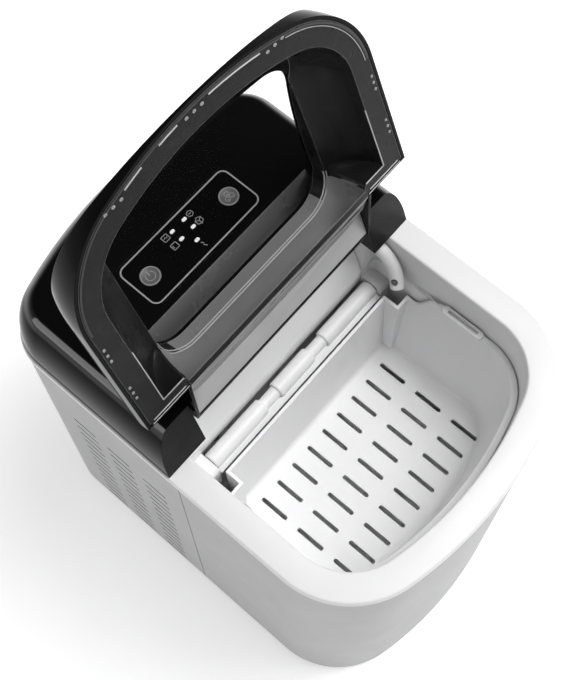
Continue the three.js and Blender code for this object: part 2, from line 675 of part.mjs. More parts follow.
function iceBasket() {
  const outer = basketSpace(0, BASKET_FLOOR).subtract(notches(0));
  const inner = basketSpace(BASKET_WALL, BASKET_FLOOR + BASKET_WALL).subtract(notches(BASKET_WALL));
  const flange = slab(frontOutline(20.4, -46), BASKET_HIGH - 2.4, BASKET_HIGH)
    .subtract(slab(frontOutline(BASKET_INSET + 1, 0), 200, 260));
  const tab = slab(rectangle(87.5, 93.4, -83, -51, 2), BASKET_HIGH - 2.4, BASKET_HIGH + 3.5);
  const tabSlot = slab(rectangle(89.2, 91.6, -79, -55, 1), 230, 260);
  let basket = outer.subtract(inner).intersect(underBasketRim(0)).add(flange);
  basket = basket.add(tab.subtract(inner)).subtract(tabSlot.intersect(box(80, 100, -90, -40, 246, 260)));
  const drains = [];
  for (let column = -4; column <= 4; column += 1) {
    for (const y of [-102, -70, -38]) {
      drains.push(box(column * 16 - 1.5, column * 16 + 1.5, y - 11, y + 11, 140, 160));
    }
  }
  return part("ice_basket", basket.subtract(wasm.Manifold.union(drains)), WHITE_PLASTIC);
}

// ---- freezing mechanism -----------------------------------------------------------------------
// Curved sheet that closes the freezing chamber in front and above.
function evaporatorCover() {
  const front = [[12, 250], [18, 264], [28, 277], [45.6, 285]];
  const back = [[29, 274.6], [20.2, 262.6], [14.4, 249.2], [11.4, 238.5]];
  const points = (list) => list.map(([y, z]) => new THREE.Vector2(y, z));
  const profile = new THREE.Shape();
  profile.moveTo(9.6, 221);
  profile.lineTo(9, 238.5);
  profile.splineThru(points(front));
  profile.lineTo(45.6, 282.4);
  profile.splineThru(points(back));
  profile.lineTo(11.8, 221);
  const sheet = sideProfile(profile, -CHAMBER_HALF + GAP, CHAMBER_HALF - GAP, 4);
  return part("evaporator_cover", sheet, WHITE_PLASTIC);
}

// Pusher bar in three lengths on one spine, with a slotted blade hanging from it and end pins.
function iceShovel() {
  const bars = [[-80, -30], [-17, 16.5], [29.8, 80]].map(
    ([x0, x1]) => rodX(x0, x1, SHOVEL_Y, SHOVEL_Z, SHOVEL_RADIUS, 20),
  );
  const core = rodX(-80, 80, SHOVEL_Y, SHOVEL_Z, SHOVEL_RADIUS - 1.6, 20);
  const skirt = box(-80, 80, SHOVEL_Y - 9.5, SHOVEL_Y + 3.5, SHOVEL_Z - 4, SHOVEL_Z - 2);
  const blade = box(-77, 77, SHOVEL_Y - 1.1, SHOVEL_Y + 1.1, SHOVEL_Z - 34, SHOVEL_Z - 3);
  const slots = [];
  for (let i = -4; i <= 4; i += 1) {
    slots.push(box(i * 16 - 2, i * 16 + 2, -10, 20, SHOVEL_Z - 40, SHOVEL_Z - 16));
  }
  const pins = rodX(-83.4, -79.5, SHOVEL_Y, SHOVEL_Z, 2.3, 16)
    .add(rodX(79.5, 83.4, SHOVEL_Y, SHOVEL_Z, 2.3, 16));
  const shovel = wasm.Manifold.union(bars).add(core).add(skirt)
    .add(blade.subtract(wasm.Manifold.union(slots))).add(pins);
  return part("ice_shovel", shovel, WHITE_PLASTIC);
}

// Half-round trough that turns about its own centre line, with end walls and stub axles.
function waterTray() {
  const half = 74;
  const lowerHalf = box(-90, 90, TRAY_Y - 30, TRAY_Y + 30, TRAY_Z - 30, TRAY_Z);
  const outer = rodX(-half, half, TRAY_Y, TRAY_Z, TRAY_RADIUS, 28).intersect(lowerHalf);
  const inner = rodX(-half + 2, half - 2, TRAY_Y, TRAY_Z, TRAY_RADIUS - 2, 28);
  const hubs = [-1, 1].map((side) => {
    const x = side * (half - 1);
    return rodX(x - 1, x + 1, TRAY_Y, TRAY_Z, 7, 20);
  });
  const leftAxle = rodX(-82.6, -half + 0.5, TRAY_Y, TRAY_Z, 3.4, 16);
  const rightAxle = rodX(half - 0.5, 82.6, TRAY_Y, TRAY_Z, 3.4, 16);
  const tray = outer.subtract(inner).add(wasm.Manifold.union(hubs)).add(leftAxle).add(rightAxle);
  return part("water_tray", tray, WHITE_PLASTIC);
}

function evaporator() {
  const block = box(-68, 68, TRAY_Y - 7, TRAY_Y + 7, 259.5, 265.5);
  const fingers = [];
  for (let i = 0; i < FINGER_COUNT; i += 1) {
    const x = (i - (FINGER_COUNT - 1) / 2) * FINGER_PITCH;
    fingers.push(rodZ(x, TRAY_Y, 228, 260, 3.6, 14, 4.4));
  }
  return part("evaporator", block.add(wasm.Manifold.union(fingers)), ALUMINIUM);
}

function evaporatorTube() {
  const z = 269.6;
  const run = tube([
    [60, 34, z], [20, 34, z], [-30, 34, z], [-60, 34, z], [-65, 38.5, z], [-60, 43, z], [-30, 43, z],
    [20, 43, z], [60, 43, z],
  ], 3.2, 28, 8);
  return part("evaporator_tube", run, COPPER);
}

function trayMotor() {
  const body = rodX(84.2, 103, TRAY_Y, TRAY_Z, 23, 32);
  const shaft = rodX(82.9, 84.6, TRAY_Y, TRAY_Z, 3.2, 16);
  const ears = box(84.2, 86, TRAY_Y - 26, TRAY_Y + 26, TRAY_Z - 5, TRAY_Z + 5);
  return part("tray_gear_motor", body.add(shaft).add(ears), STEEL);
}

function sensorArm() {
  const arm = tube([
    [89, 4.4, 270], [89.4, -2, 266], [89.2, -9, 259], [87.2, -14.5, 251], [84.2, -18, 245],
  ], 4.8, 12, 12);
  return part("ice_sensor_arm", arm.subtract(sensorEye(5.2, 2.4)), WHITE_PLASTIC);
}

// A short round stub set into the arm's tip, facing up and to the left.
function sensorEye(length, radius) {
  const stub = new THREE.CylinderGeometry(radius, radius, length, 12);
  stub.applyQuaternion(new THREE.Quaternion().setFromUnitVectors(
    new THREE.Vector3(0, 1, 0), new THREE.Vector3(-0.62, -0.2, 0.76).normalize(),
  ));
  stub.translate(84.2, -15.6, 250.4);
  return solid(stub);
}

function sensorWindow() {
  return part("ice_sensor_window", sensorEye(4.2, 2), SATIN_BLACK);
}

// ---- water circuit -----------------------------------------------------------------------------
function waterPump() {
  const { x, y, radius } = PUMP;
  const z = CHAMBER_FLOOR - 8;
  const body = rodZ(x, y, z - 34, z - 0.2, radius, 24);
  const spout = rodZ(x, y, z - 0.4, CHAMBER_FLOOR + 6, 4, 16);
  return part("water_pump", body.add(spout), SATIN_BLACK);
}

function fillHose() {
  const hose = tube([
    [PUMP.x - PUMP.radius - 0.3, 30, 126], [-80, 30, 127], [-96, 33, 142], [-98, 38, 190],
    [-96, 42, 240], [-91, 44, 258], [-87, 44, 262],
  ], 3.6, 24, 8);
  return part("fill_hose", hose, NYLON);
}

function drainHose() {
  const { y, z } = DRAIN;
  const hose = tube([
    [0, y, TUB_FLOOR - 5], [0, y, 84], [6, y, 60], [30, y, 42], [62, y, z], [92, y, z],
  ], 4, 18, 8);
  return part("drain_hose", hose, NYLON);
}

function drainSocket() {
  const sleeve = rodX(93, 110.2, DRAIN.y, DRAIN.z, 10.8, 28);
  const bore = rodX(101, 112, DRAIN.y, DRAIN.z, 8.4, 24);
  return part("drain_socket", sleeve.subtract(bore), SATIN_BLACK);
}

function drainCap() {
  const { y, z } = DRAIN;
  const face = rodX(110.6, 113.2, y, z, 11, 28);
  const plug = rodX(101.6, 110.8, y, z, 8, 24);
  const grip = box(112.8, 113.8, y - 8, y + 8, z - 1, z + 1);
  return part("drain_cap", face.add(plug).add(grip), CASE_GREY);
}

// ---- refrigeration -------------------------------------------------------------------------------
function compressor() {
  const { x, y, radius, z0, height } = COMPRESSOR;
  const profile = [
    [0, 0], [30, 0], [40, 5], [radius, 16], [radius, height * 0.5], [radius - 0.5, height * 0.52],
    [radius - 0.5, height - 26], [36, height - 8], [18, height], [0, height],
  ].map(([r, z]) => new THREE.Vector2(r, z));
  const can = new THREE.LatheGeometry(profile, 32);
  can.rotateX(Math.PI / 2);
  can.translate(x, y, z0);
  const cradle = box(x - 46, x + 46, y - 30, y + 30, z0 - 3, z0 + 0.8);
  const terminal = box(x - 14, x + 14, y - radius - 8, y - radius + 4, z0 + 50, z0 + 78);
  return part("compressor", solid(can).add(cradle).add(terminal), COMPRESSOR_BLACK);
}

function compressorMount(name, dx, dy) {
  const { x, y, z0 } = COMPRESSOR;
  return part(name, rodZ(x + dx * 38, y + dy * 23, BASE_TOP + 0.3, z0 - 3.3, 7, 20), RUBBER);
}

function condenser() {
  const core = box(-101, -95, 40, 108, 34, 122);
  const fins = [];
  for (let i = 0; i < 13; i += 1) {
    const y = 40 + i * 5.55;
    fins.push(box(-106, -90, y, y + 1.4, 34, 122));
  }
  const rails = box(-106, -90, 38, 110, 32, 34.4).add(box(-106, -90, 38, 110, 121.6, 124));
  const inlet = rodY(-98, 104, 114, 112, 3, 12);
  return part("condenser", core.add(wasm.Manifold.union(fins)).add(rails).add(inlet), ALUMINIUM);
}

function fanShroud() {
  const frame = slab(rectangle(-88.5, -70, FAN.y - 42, FAN.y + 42, 1), FAN.z - 42, FAN.z + 42);
  const bore = rodX(-95, -73, FAN.y, FAN.z, FAN.radius + 1.6, 28);
  const back = rodX(-75, -60, FAN.y, FAN.z, 34, 28);
  const spokes = box(-73, -70, FAN.y - 36, FAN.y + 36, FAN.z - 4, FAN.z + 4)
    .add(box(-73, -70, FAN.y - 4, FAN.y + 4, FAN.z - 36, FAN.z + 36))
    .add(rodX(-73, -70, FAN.y, FAN.z, 16, 24));
  const shroud = frame.subtract(bore).subtract(back).add(spokes)
    .subtract(rodX(-95, -60, FAN.y, FAN.z, 3.2, 16));
  return part("fan_shroud", shroud, SATIN_BLACK);
}

function fanBlade() {
  const hub = rodX(-86, -76, FAN.y, FAN.z, 11, 24);
  const blades = [];
  for (let i = 0; i < 7; i += 1) {
    const blade = new THREE.BoxGeometry(1.6, 14, FAN.radius - 9);
    blade.translate(0, 0, (FAN.radius - 9) / 2 + 9);
    blade.applyMatrix4(new THREE.Matrix4().makeRotationZ(0.5));
    blade.rotateX((i * 2 * Math.PI) / 7);
    blade.translate(-81, FAN.y, FAN.z);
    blades.push(solid(blade));
  }
  const disc = rodX(-90, -72, FAN.y, FAN.z, FAN.radius, 28);
  return part("fan_blade", wasm.Manifold.union(blades).intersect(disc).add(hub), SATIN_BLACK);
}

function fanMotor() {
  const body = rodX(-69.6, -50, FAN.y, FAN.z, 17, 28);
  const shaft = rodX(-75.7, -69, FAN.y, FAN.z, 2.6, 14);
  return part("fan_motor", body.add(shaft), STEEL);
}

function filterDrier() {
  const body = rodZ(-14, 138, 150, 190, 9, 20);
  const necks = rodZ(-14, 138, 140, 200, 3, 12);
  return part("filter_drier", body.add(necks), COPPER);
}

function hotGasValve() {
  const coil = box(4, 26, 118, 136, 168, 194);
  const stem = rodZ(15, 127, 158, 200, 5, 16);
  return part("hot_gas_valve", coil.add(stem), COPPER);
}

function suctionPipe() {
  const pipe = tube([
    [62, 80, 144.4], [62, 79, 180], [62, 79, 230], [62, 76, 256], [62, 66, 262.5], [62, 45.3, 262.5],
  ], 3, 18, 8);
  return part("suction_pipe", pipe, COPPER);
}

function dischargePipe() {
  const pipe = tube([
    [40, 84, 144.4], [36, 96, 160], [10, 96, 166], [-40, 92, 162], [-82, 88, 146], [-96, 86, 126.4],
  ], 3, 20, 8);
  return part("discharge_pipe", pipe, COPPER);
}

// ---- electrics -------------------------------------------------------------------------------------
function powerBoard() {
  const board = box(-66, -20, 143.4, 145, 196, 250);
  const transformer = box(-62, -40, 126, 143.8, 204, 226);
  const relay = box(-36, -24, 130, 143.8, 206, 222);
  const terminals = box(-60, -26, 132, 143.8, 236, 246);
  const assembly = board.add(transformer).add(relay).add(terminals);
  return part("power_board", assembly, CIRCUIT_GREEN);
}

function cordGland() {
  const { x, z } = CORD;
  const sleeve = rodY(x, 138, 156, z, 8.2, 16);
  const lip = rodY(x, 130, 138.5, z, 11, 16);
  const bore = rodY(x, 120, 160, z, 4, 12);
  return part("cord_gland", sleeve.add(lip).subtract(bore), RUBBER);
}

// ---- assembly ----------------------------------------------------------------------------------------
const iceMaker = new THREE.Group();

iceMaker.add(
  basePlate(), frontShell(), rearShell(), deckAndTub(), tubInsulation(),
  foot("foot_front_left", -78, -100), foot("foot_front_right", 78, -100),
  foot("foot_rear_left", -84, 110), foot("foot_rear_right", 84, 110),
);
iceMaker.add(
  rearCover(), controlPanel(), pushButton("power_button", -BUTTON_X),
  pushButton("select_button", BUTTON_X), ledLightGuide(), controlBoard(),
  hingeBush("hinge_bush_left", -1), hingeBush("hinge_bush_right", 1),
);
iceMaker.add(
  iceBasket(), evaporatorCover(), iceShovel(), waterTray(), evaporator(), evaporatorTube(),
  trayMotor(), sensorArm(), sensorWindow(),
);
iceMaker.add(
  waterPump(), fillHose(), drainHose(), drainSocket(), drainCap(),
  compressor(), condenser(), fanShroud(), fanBlade(), fanMotor(), filterDrier(), hotGasValve(),
  suctionPipe(), dischargePipe(), powerBoard(), cordGland(),
);
for (const [index, [dx, dy]] of [[-1, -1], [1, -1], [-1, 1], [1, 1]].entries()) {
  iceMaker.add(compressorMount(`compressor_mount_${index + 1}`, dx, dy));
}

const lidParts = new THREE.Group();
lidParts.add(
  lidShell(), lidWindow(), lidLiner(),
  lidHingePin("lid_hinge_pin_left", -1), lidHingePin("lid_hinge_pin_right", 1),
);
lidParts.position.set(0, -HINGE_Y, -HINGE_Z);

const lid = new THREE.Group();
lid.add(lidParts);
lid.position.set(0, HINGE_Y, HINGE_Z);
lid.rotation.x = -LID_OPEN;
iceMaker.add(lid);

export default iceMaker;
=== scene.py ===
import math

import bpy
import numpy as np
from mathutils import Matrix, Vector


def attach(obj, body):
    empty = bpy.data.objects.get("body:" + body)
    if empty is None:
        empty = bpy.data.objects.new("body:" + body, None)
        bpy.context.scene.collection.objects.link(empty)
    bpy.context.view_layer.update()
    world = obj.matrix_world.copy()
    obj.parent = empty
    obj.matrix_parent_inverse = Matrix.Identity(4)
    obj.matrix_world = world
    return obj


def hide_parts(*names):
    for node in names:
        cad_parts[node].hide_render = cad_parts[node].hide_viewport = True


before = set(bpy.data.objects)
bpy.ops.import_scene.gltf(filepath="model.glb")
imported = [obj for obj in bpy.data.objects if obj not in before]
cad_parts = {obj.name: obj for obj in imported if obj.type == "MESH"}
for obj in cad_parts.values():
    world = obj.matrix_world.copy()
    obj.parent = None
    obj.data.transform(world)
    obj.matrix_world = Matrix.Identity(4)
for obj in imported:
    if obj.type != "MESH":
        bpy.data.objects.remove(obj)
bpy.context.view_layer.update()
scene = bpy.context.scene
MM = 0.001
PI = math.pi

# ---- dimensions, in millimetres ----
CASE = dict(half=114.0, front=-157.5, front_r=262.0, front_c=61.0, rear=157.5, rear_r=310.0, rear_c=35.0)
LID = dict(half=111.2, front=-161.2, front_r=213.0, front_c=63.0)
WINDOW = dict(half=72.5, front=-121.0, front_r=260.0, front_c=26.0)
LINER = dict(half=95.0, front=-143.5, front_r=196.0, front_c=45.0)
WALL = 2.5
SEAM_Y = -7.0
DECK_TOP, DECK_BOTTOM = 278.5, 274.0
RIM = 19.0
LEDGE_Z, LEDGE_INSET, FLOOR_INSET, TUB_FLOOR = 243.8, 22.2, 30.0, 112.0
MOUTH_REAR, CHAMBER_HALF, CHAMBER_REAR, CHAMBER_FLOOR = 8.0, 80.5, 64.0, 150.0
COVER_TOP, COVER_INSET, DOME_A, DOME_H = 322.0, 1.5, 16.0, 44.0
LID_SHOULDER, LID_SHOULDER_H = 20.0, 41.0
LEAN, RECESS_HALF, RECESS_REAR = 0.24, 80.4, 46.5
SLOPE_Y, RECESS_Z = 58.0, 292.0
HINGE_Y, HINGE_Z, LID_OPEN = 28.2, 314.6, math.radians(110.7)
LID_BOTTOM, LID_TOP, LID_WALL, TAB_HALF, TAB_REAR, LID_GAP = 280.6, 321.5, 2.2, 79.4, 45.0, 3.0
BASKET_HIGH, BASKET_LOW, BASKET_FLOOR = 247.0, 230.0, 152.0
BASKET_INSET, BASKET_FLOOR_INSET, BASKET_WALL, BASKET_REAR = 22.8, 31.0, 2.2, -11.0
NOTCH_X, NOTCH_Y = 79.5, -23.4
SHOVEL_Y, SHOVEL_Z, SHOVEL_R = 0.5, 224.0, 6.0
BUTTON_X, BUTTON_Y, BUTTON_R = 35.2, 82.4, 6.5
PANEL = (49.0, 64.0, 100.5, 1.2)
LED_SPOTS = [(-5.0, 92.5), (5.8, 92.6), (-4.8, 84.9), (5.9, 85.1), (0.8, 77.3)]
PRINT = COVER_TOP + 0.06
BAY_HALF, BAY_SHOULDER, BAY_BACK, BAY_CORNER = 76.5, -12.0, 23.0, 18.0
LINER_TOP, BAY_Z = 308.0, 295.5
CLEAR = LID_WALL + 0.35
SKIN = 1.8
WINDOW_REAR, WINDOW_REAR_CORNER = 7.0, 22.0
CROWN_R, CROWN_Y = 300.0, -14.0
CASE_INSET, CASE_BOTTOM, CASE_EASE = 0.6, 8.0, 1.6
VENT_COLUMNS, VENT_ROWS, VENT_LOW, VENT_STEP, VENT_HALF = (11.8, 43.8, 74.5), 13, 18.0, 15.4, 1.1
GRILLE_ROWS, GRILLE_LOW, GRILLE_STEP, GRILLE_HALF = 9, 60.0, 14.0, 40.0
DRAIN_Y, CORD_X, PORT_Z = -60.0, -78.0, 34.0
RIM_EASE, MOUTH_EASE, FLOOR_EASE = 1.7, 1.4, 6.0

# ---- camera ----
cam_data = bpy.data.cameras.new("camera")
camera = bpy.data.objects.new("camera", cam_data)
scene.collection.objects.link(camera)
camera.location = (-0.2224, -0.1935, 1.0640)
camera.rotation_euler = (math.radians(24.5), 0.0, math.radians(-49.4))
cam_data.lens = 71.41
cam_data.sensor_width = 36.0
cam_data.sensor_fit = "AUTO"
cam_data.shift_x = -0.02
cam_data.shift_y = -0.1310294
cam_data.clip_start = 0.01
scene.camera = camera


# ---- mesh helpers ----
def new_object(name, mesh):
    ob = bpy.data.objects.new(name, mesh)
    scene.collection.objects.link(ob)
    return ob


def from_faces(name, verts, faces):
    mesh = bpy.data.meshes.new(name)
    mesh.from_pydata([tuple(float(c) * MM for c in v) for v in verts], [], faces)
    mesh.update()
    return new_object(name, mesh)


def loft(name, rings):
    """A solid through rings with the same number of points, capped at both ends."""
    n, last = len(rings[0]), len(rings) - 1
    faces = []
    for a in range(0, last * n, n):
        for i in range(n):
            j = (i + 1) % n
            faces.append((a + i, a + j, a + n + j, a + n + i))
    faces.append(tuple(reversed(range(n))))
    faces.append(tuple(range(last * n, last * n + n)))
    return from_faces(name, np.vstack(rings), faces)


def arc(cx, cy, r, a0, a1, n):
    t = np.linspace(a0, a1, n + 1)
    return np.c_[cx + r * np.cos(t), cy + r * np.sin(t)]


def plan(p, inset, back=None, back_c=4.0):
    """Plan outline, counter-clockwise: bowed front, and a bowed rear or a straight back."""
    half, fc = p["half"], p["front_c"]
    cx, bow = half - fc, p["front"] + p["front_r"]
    cy = bow - math.sqrt((p["front_r"] - fc) ** 2 - cx ** 2)
    turn = math.atan2(cy - bow, cx)
    if back is None:
        rc, rr = p["rear_c"], p["rear_r"]
        rx, rbow = half - rc, p["rear"] - rr
        ry = rbow + math.sqrt((rr - rc) ** 2 - rx ** 2)
        rt = math.atan2(ry - rbow, rx)
        pts = [arc(rx, ry, rc - inset, 0, rt, 18), arc(0, rbow, rr - inset, rt, PI - rt, 26)[1:],
               arc(-rx, ry, rc - inset, PI - rt, PI, 18)[1:]]
    else:
        side = half - inset
        pts = [arc(side - back_c, back - back_c, back_c, 0, PI / 2, 8),
               arc(-side + back_c, back - back_c, back_c, PI / 2, PI, 8)]
    pts += [arc(-cx, cy, fc - inset, PI, PI - turn, 24),
            arc(0, bow, p["front_r"] - inset, PI - turn, 2 * PI + turn, 30)[1:],
            arc(cx, cy, fc - inset, 2 * PI + turn, 2 * PI, 24)[1:]]
    return np.vstack(pts)


def at(outline, z):
    return np.c_[outline, np.full(len(outline), float(z))]


def slab(name, outline, z0, z1):
    return loft(name, [at(outline, z0), at(outline, z1)])


def rounded_rect(x0, x1, y0, y1, r, n=8):
    return np.vstack([arc(x1 - r, y1 - r, r, 0, PI / 2, n), arc(x0 + r, y1 - r, r, PI / 2, PI, n),
                      arc(x0 + r, y0 + r, r, PI, 1.5 * PI, n), arc(x1 - r, y0 + r, r, 1.5 * PI, 2 * PI, n)])


def box(name, x0, x1, y0, y1, z0, z1):
    return slab(name, np.array([(x1, y0), (x1, y1), (x0, y1), (x0, y0)], float), z0, z1)


def boxes(name, spans):
    """Several separate boxes in one object; a span is x0, x1, y0, y1, z0, z1."""
    verts, faces = [], []
    for x0, x1, y0, y1, z0, z1 in spans:
        b = len(verts)
        verts += [(x1, y0, z0), (x1, y1, z0), (x0, y1, z0), (x0, y0, z0),
                  (x1, y0, z1), (x1, y1, z1), (x0, y1, z1), (x0, y0, z1)]
        faces += [(b + 3, b + 2, b + 1, b), (b + 4, b + 5, b + 6, b + 7), (b, b + 1, b + 5, b + 4),
                  (b + 1, b + 2, b + 6, b + 5), (b + 2, b + 3, b + 7, b + 6), (b + 3, b, b + 4, b + 7)]
    return from_faces(name, verts, faces)


def prism_x(name, yz, x0, x1):
    """A side profile carried from x0 to x1."""
    yz = np.array(yz, float)
    area = 0.5 * np.sum(yz[:, 0] * np.roll(yz[:, 1], -1) - np.roll(yz[:, 0], -1) * yz[:, 1])
    if area < 0:
        yz = yz[::-1]
    return loft(name, [np.c_[np.full(len(yz), x), yz] for x in (x0, x1)])


def turned(name, profile, origin, axis, n, close_profile=False):
    """A body of revolution: profile is (radius, height) pairs, low to high; radius 0 ends are poles."""
    verts, faces, ring_of = [], [], []
    for r, h in profile:
        if r < 1e-6:
            ring_of.append([len(verts)])
            verts.append((0.0, 0.0, h))
        else:
            ring_of.append(list(range(len(verts), len(verts) + n)))
            for k in range(n):
                t = 2 * PI * k / n
                verts.append((r * math.cos(t), r * math.sin(t), h))
    pairs = list(zip(ring_of, ring_of[1:]))
    if close_profile:
        pairs.append((ring_of[-1], ring_of[0]))
    for a, b in pairs:
        for k in range(n):
            m = (k + 1) % n
            if len(a) == 1:
                faces.append((a[0], b[m], b[k]))
            elif len(b) == 1:
                faces.append((a[k], a[m], b[0]))
            else:
                faces.append((a[k], a[m], b[m], b[k]))
    if axis == "X":
        verts = [(v[2], v[0], v[1]) for v in verts]
    elif axis == "Y":
        verts = [(v[1], v[2], v[0]) for v in verts]
    verts = [(v[0] + origin[0], v[1] + origin[1], v[2] + origin[2]) for v in verts]
    return from_faces(name, verts, faces)


def rod(name, r, h0, h1, origin, axis="Z"):
    return turned(name, [(0, h0), (r, h0), (r, h1), (0, h1)], origin, axis, 40)


def combine(a, b, operation):
    """a becomes a with b joined, cut away or kept in common; b is used up."""
    mod = a.modifiers.new("join", "BOOLEAN")
    mod.operation = operation
    mod.object = b
    mod.solver = "MANIFOLD"
    graph = bpy.context.evaluated_depsgraph_get()
    mesh = bpy.data.meshes.new_from_object(a.evaluated_get(graph))
    a.modifiers.clear()
    old = a.data
    a.data = mesh
    bpy.data.meshes.remove(old)
    bpy.data.objects.remove(b)


def cut(a, *tools):
    for t in tools:
        combine(a, t, "DIFFERENCE")
    return a


def join(a, *others):
    for t in others:
        combine(a, t, "UNION")
    return a


def keep(a, *others):
    for t in others:
        combine(a, t, "INTERSECT")
    return a


def merge(name, objects):
    """Several separate closed meshes become one object."""
    verts, faces = [], []
    for ob in objects:
        b = len(verts)
        verts += [tuple(v.co) for v in ob.data.vertices]
        faces += [tuple(i + b for i in p.vertices) for p in ob.data.polygons]
        bpy.data.objects.remove(ob)
    mesh = bpy.data.meshes.new(name)
    mesh.from_pydata(verts, [], faces)
    mesh.update()
    return new_object(name, mesh)


def stroke(name, points, width, z0, z1, closed=False):
    """A raised printed line of one width along a flat path."""
    p = np.array(points, float)
    n = len(p)
    left, right = [], []
    for i in range(n):
        a = p[(i - 1) % n] if closed or i > 0 else p[i]
        b = p[(i + 1) % n] if closed or i < n - 1 else p[i]
        d = b - a
        d = d / np.linalg.norm(d)
        s = np.array([-d[1], d[0]]) * width / 2
        left.append(p[i] + s)
        right.append(p[i] - s)
    verts = []
    for i in range(n):
        verts += [(*right[i], z0), (*left[i], z0), (*left[i], z1), (*right[i], z1)]
    faces = []
    for i in range(n if closed else n - 1):
        a, b = 4 * i, 4 * ((i + 1) % n)
        for k in range(4):
            m = (k + 1) % 4
            faces.append((a + k, a + m, b + m, b + k))
    if not closed:
        faces += [(0, 3, 2, 1), (4 * n - 4, 4 * n - 3, 4 * n - 2, 4 * n - 1)]
    return from_faces(name, verts, faces)


def spline(points, n):
    """A smooth curve through given points, with n steps between neighbours."""
    p = np.array(points, float)
    ext = np.vstack([2 * p[0] - p[1], p, 2 * p[-1] - p[-2]])
    out = []
    for i in range(len(p) - 1):
        a, b, c, d = ext[i:i + 4]
        square = 2 * a - 5 * b + 4 * c - d
        cube = 3 * b - a - 3 * c + d
        for t in np.linspace(0, 1, n, endpoint=False):
            out.append(0.5 * (2 * b + (c - a) * t + square * t * t + cube * t ** 3))
    out.append(p[-1])
    return np.array(out)


def tube(name, points, radius, sides, steps):
    """A smooth round tube through given points."""
    path = spline(points, max(2, steps // (len(points) - 1)))
    around = np.linspace(0, 2 * PI, sides, endpoint=False)
    rings = []
    up = Vector((0.31, 0.2, 0.93))
    for i, c in enumerate(path):
        d = Vector(path[min(i + 1, len(path) - 1)] - path[max(i - 1, 0)]).normalized()
        u = (up - d * up.dot(d)).normalized()
        v = d.cross(u)
        up = u
        ring = [Vector(c) + radius * (math.cos(t) * u + math.sin(t) * v) for t in around]
        rings.append(np.array([tuple(q) for q in ring]))
    return loft(name, rings)


def open_lid(ob):
    """Turn a piece drawn with the lid shut about the hinge, to where the lid stands open."""
    turn = Matrix.Translation((0, HINGE_Y * MM, HINGE_Z * MM)) @ Matrix.Rotation(-LID_OPEN, 4, "X")
    ob.data.transform(turn @ Matrix.Translation((0, -HINGE_Y * MM, -HINGE_Z * MM)))
    return ob


def finish(ob, body, material, replaces=()):
    """Give a piece its material, smooth its round faces and fasten it to its body."""
    mesh = ob.data
    mesh.materials.clear()
    mesh.materials.append(material)
    mesh.shade_smooth()
    mesh.set_sharp_from_angle(angle=math.radians(32))
    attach(ob, body)
    if replaces:
        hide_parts(*replaces)


# ---- materials ----
def shader(name):
    """A new node material, with its nodes, its links and its main shader."""
    mat = bpy.data.materials.new(name)
    mat.use_nodes = True
    nodes, links = mat.node_tree.nodes, mat.node_tree.links
    return mat, nodes, links, nodes["Principled BSDF"]


def grain(nodes, links, scale, detail, rough=0.55):
    """Noise in the piece's own coordinates."""
    coord = nodes.new("ShaderNodeTexCoord")
    mapping = nodes.new("ShaderNodeMapping")
    noise = nodes.new("ShaderNodeTexNoise")
    noise.inputs["Scale"].default_value = scale
    noise.inputs["Detail"].default_value = detail
    noise.inputs["Roughness"].default_value = rough
    links.new(coord.outputs["Object"], mapping.inputs["Vector"])
    links.new(mapping.outputs["Vector"], noise.inputs["Vector"])
    return noise.outputs["Fac"]


def ramp(nodes, links, source, low, high, p0=0.3, p1=0.7):
    """A colour between low and high, as the source runs from p0 to p1."""
    node = nodes.new("ShaderNodeValToRGB")
    node.color_ramp.elements[0].position = p0
    node.color_ramp.elements[1].position = p1
    node.color_ramp.elements[0].color = (*low, 1)
    node.color_ramp.elements[1].color = (*high, 1)
    links.new(source, node.inputs["Fac"])
    return node.outputs["Color"]


def spread(nodes, links, source, low, high):
    """A value between low and high that follows the noise."""
    node = nodes.new("ShaderNodeMapRange")
    node.inputs["From Min"].default_value = 0.3
    node.inputs["From Max"].default_value = 0.7
    node.inputs["To Min"].default_value = low
    node.inputs["To Max"].default_value = high
    links.new(source, node.inputs["Value"])
    return node.outputs["Result"]


GRAIN_DEPTH = 0.00008
BLUISH = (1, 1, 1.01)
CREAM = (1, 1, 1.005)
COLD = (1, 1.01, 1.03)


def soft_edges(nodes, links, bsdf, radius, height, strength):
    """Normal input: edges eased by a small radius, with the surface grain on top."""
    bump = nodes.new("ShaderNodeBump")
    bump.inputs["Strength"].default_value = strength
    bump.inputs["Distance"].default_value = GRAIN_DEPTH
    links.new(height, bump.inputs["Height"])
    if radius:
        ease = nodes.new("ShaderNodeBevel")
        ease.samples = 4
        ease.inputs["Radius"].default_value = radius * MM
        links.new(ease.outputs["Normal"], bump.inputs["Normal"])
    links.new(bump.outputs["Normal"], bsdf.inputs["Normal"])


def moulded(name, low, high, r0, r1, grain_scale, strength, edge=0.5, cloud=14.0, coat=0.0, coat_r=0.03,
            metallic=0.0, ior=1.5):
    """Moulded plastic, rubber or metal: faint clouding in colour, uneven gloss and a fine surface grain.

    low and high are the colours, r0 and r1 the roughness; edge is the radius in mm that edges look eased by.
    """
    mat, nodes, links, bsdf = shader(name)
    big = grain(nodes, links, cloud, 3.0)
    fine = grain(nodes, links, grain_scale, 5.0, 0.6)
    links.new(ramp(nodes, links, big, low, high), bsdf.inputs["Base Color"])
    links.new(spread(nodes, links, grain(nodes, links, cloud * 5, 5.0), r0, r1), bsdf.inputs["Roughness"])
    soft_edges(nodes, links, bsdf, edge, fine, strength)
    bsdf.inputs["Metallic"].default_value = metallic
    bsdf.inputs["IOR"].default_value = ior
    if coat:
        bsdf.inputs["Coat Weight"].default_value = coat
        bsdf.inputs["Coat Roughness"].default_value = coat_r
    return mat


def grey(v, tint=(1, 1, 1)):
    return tuple(v * t for t in tint)


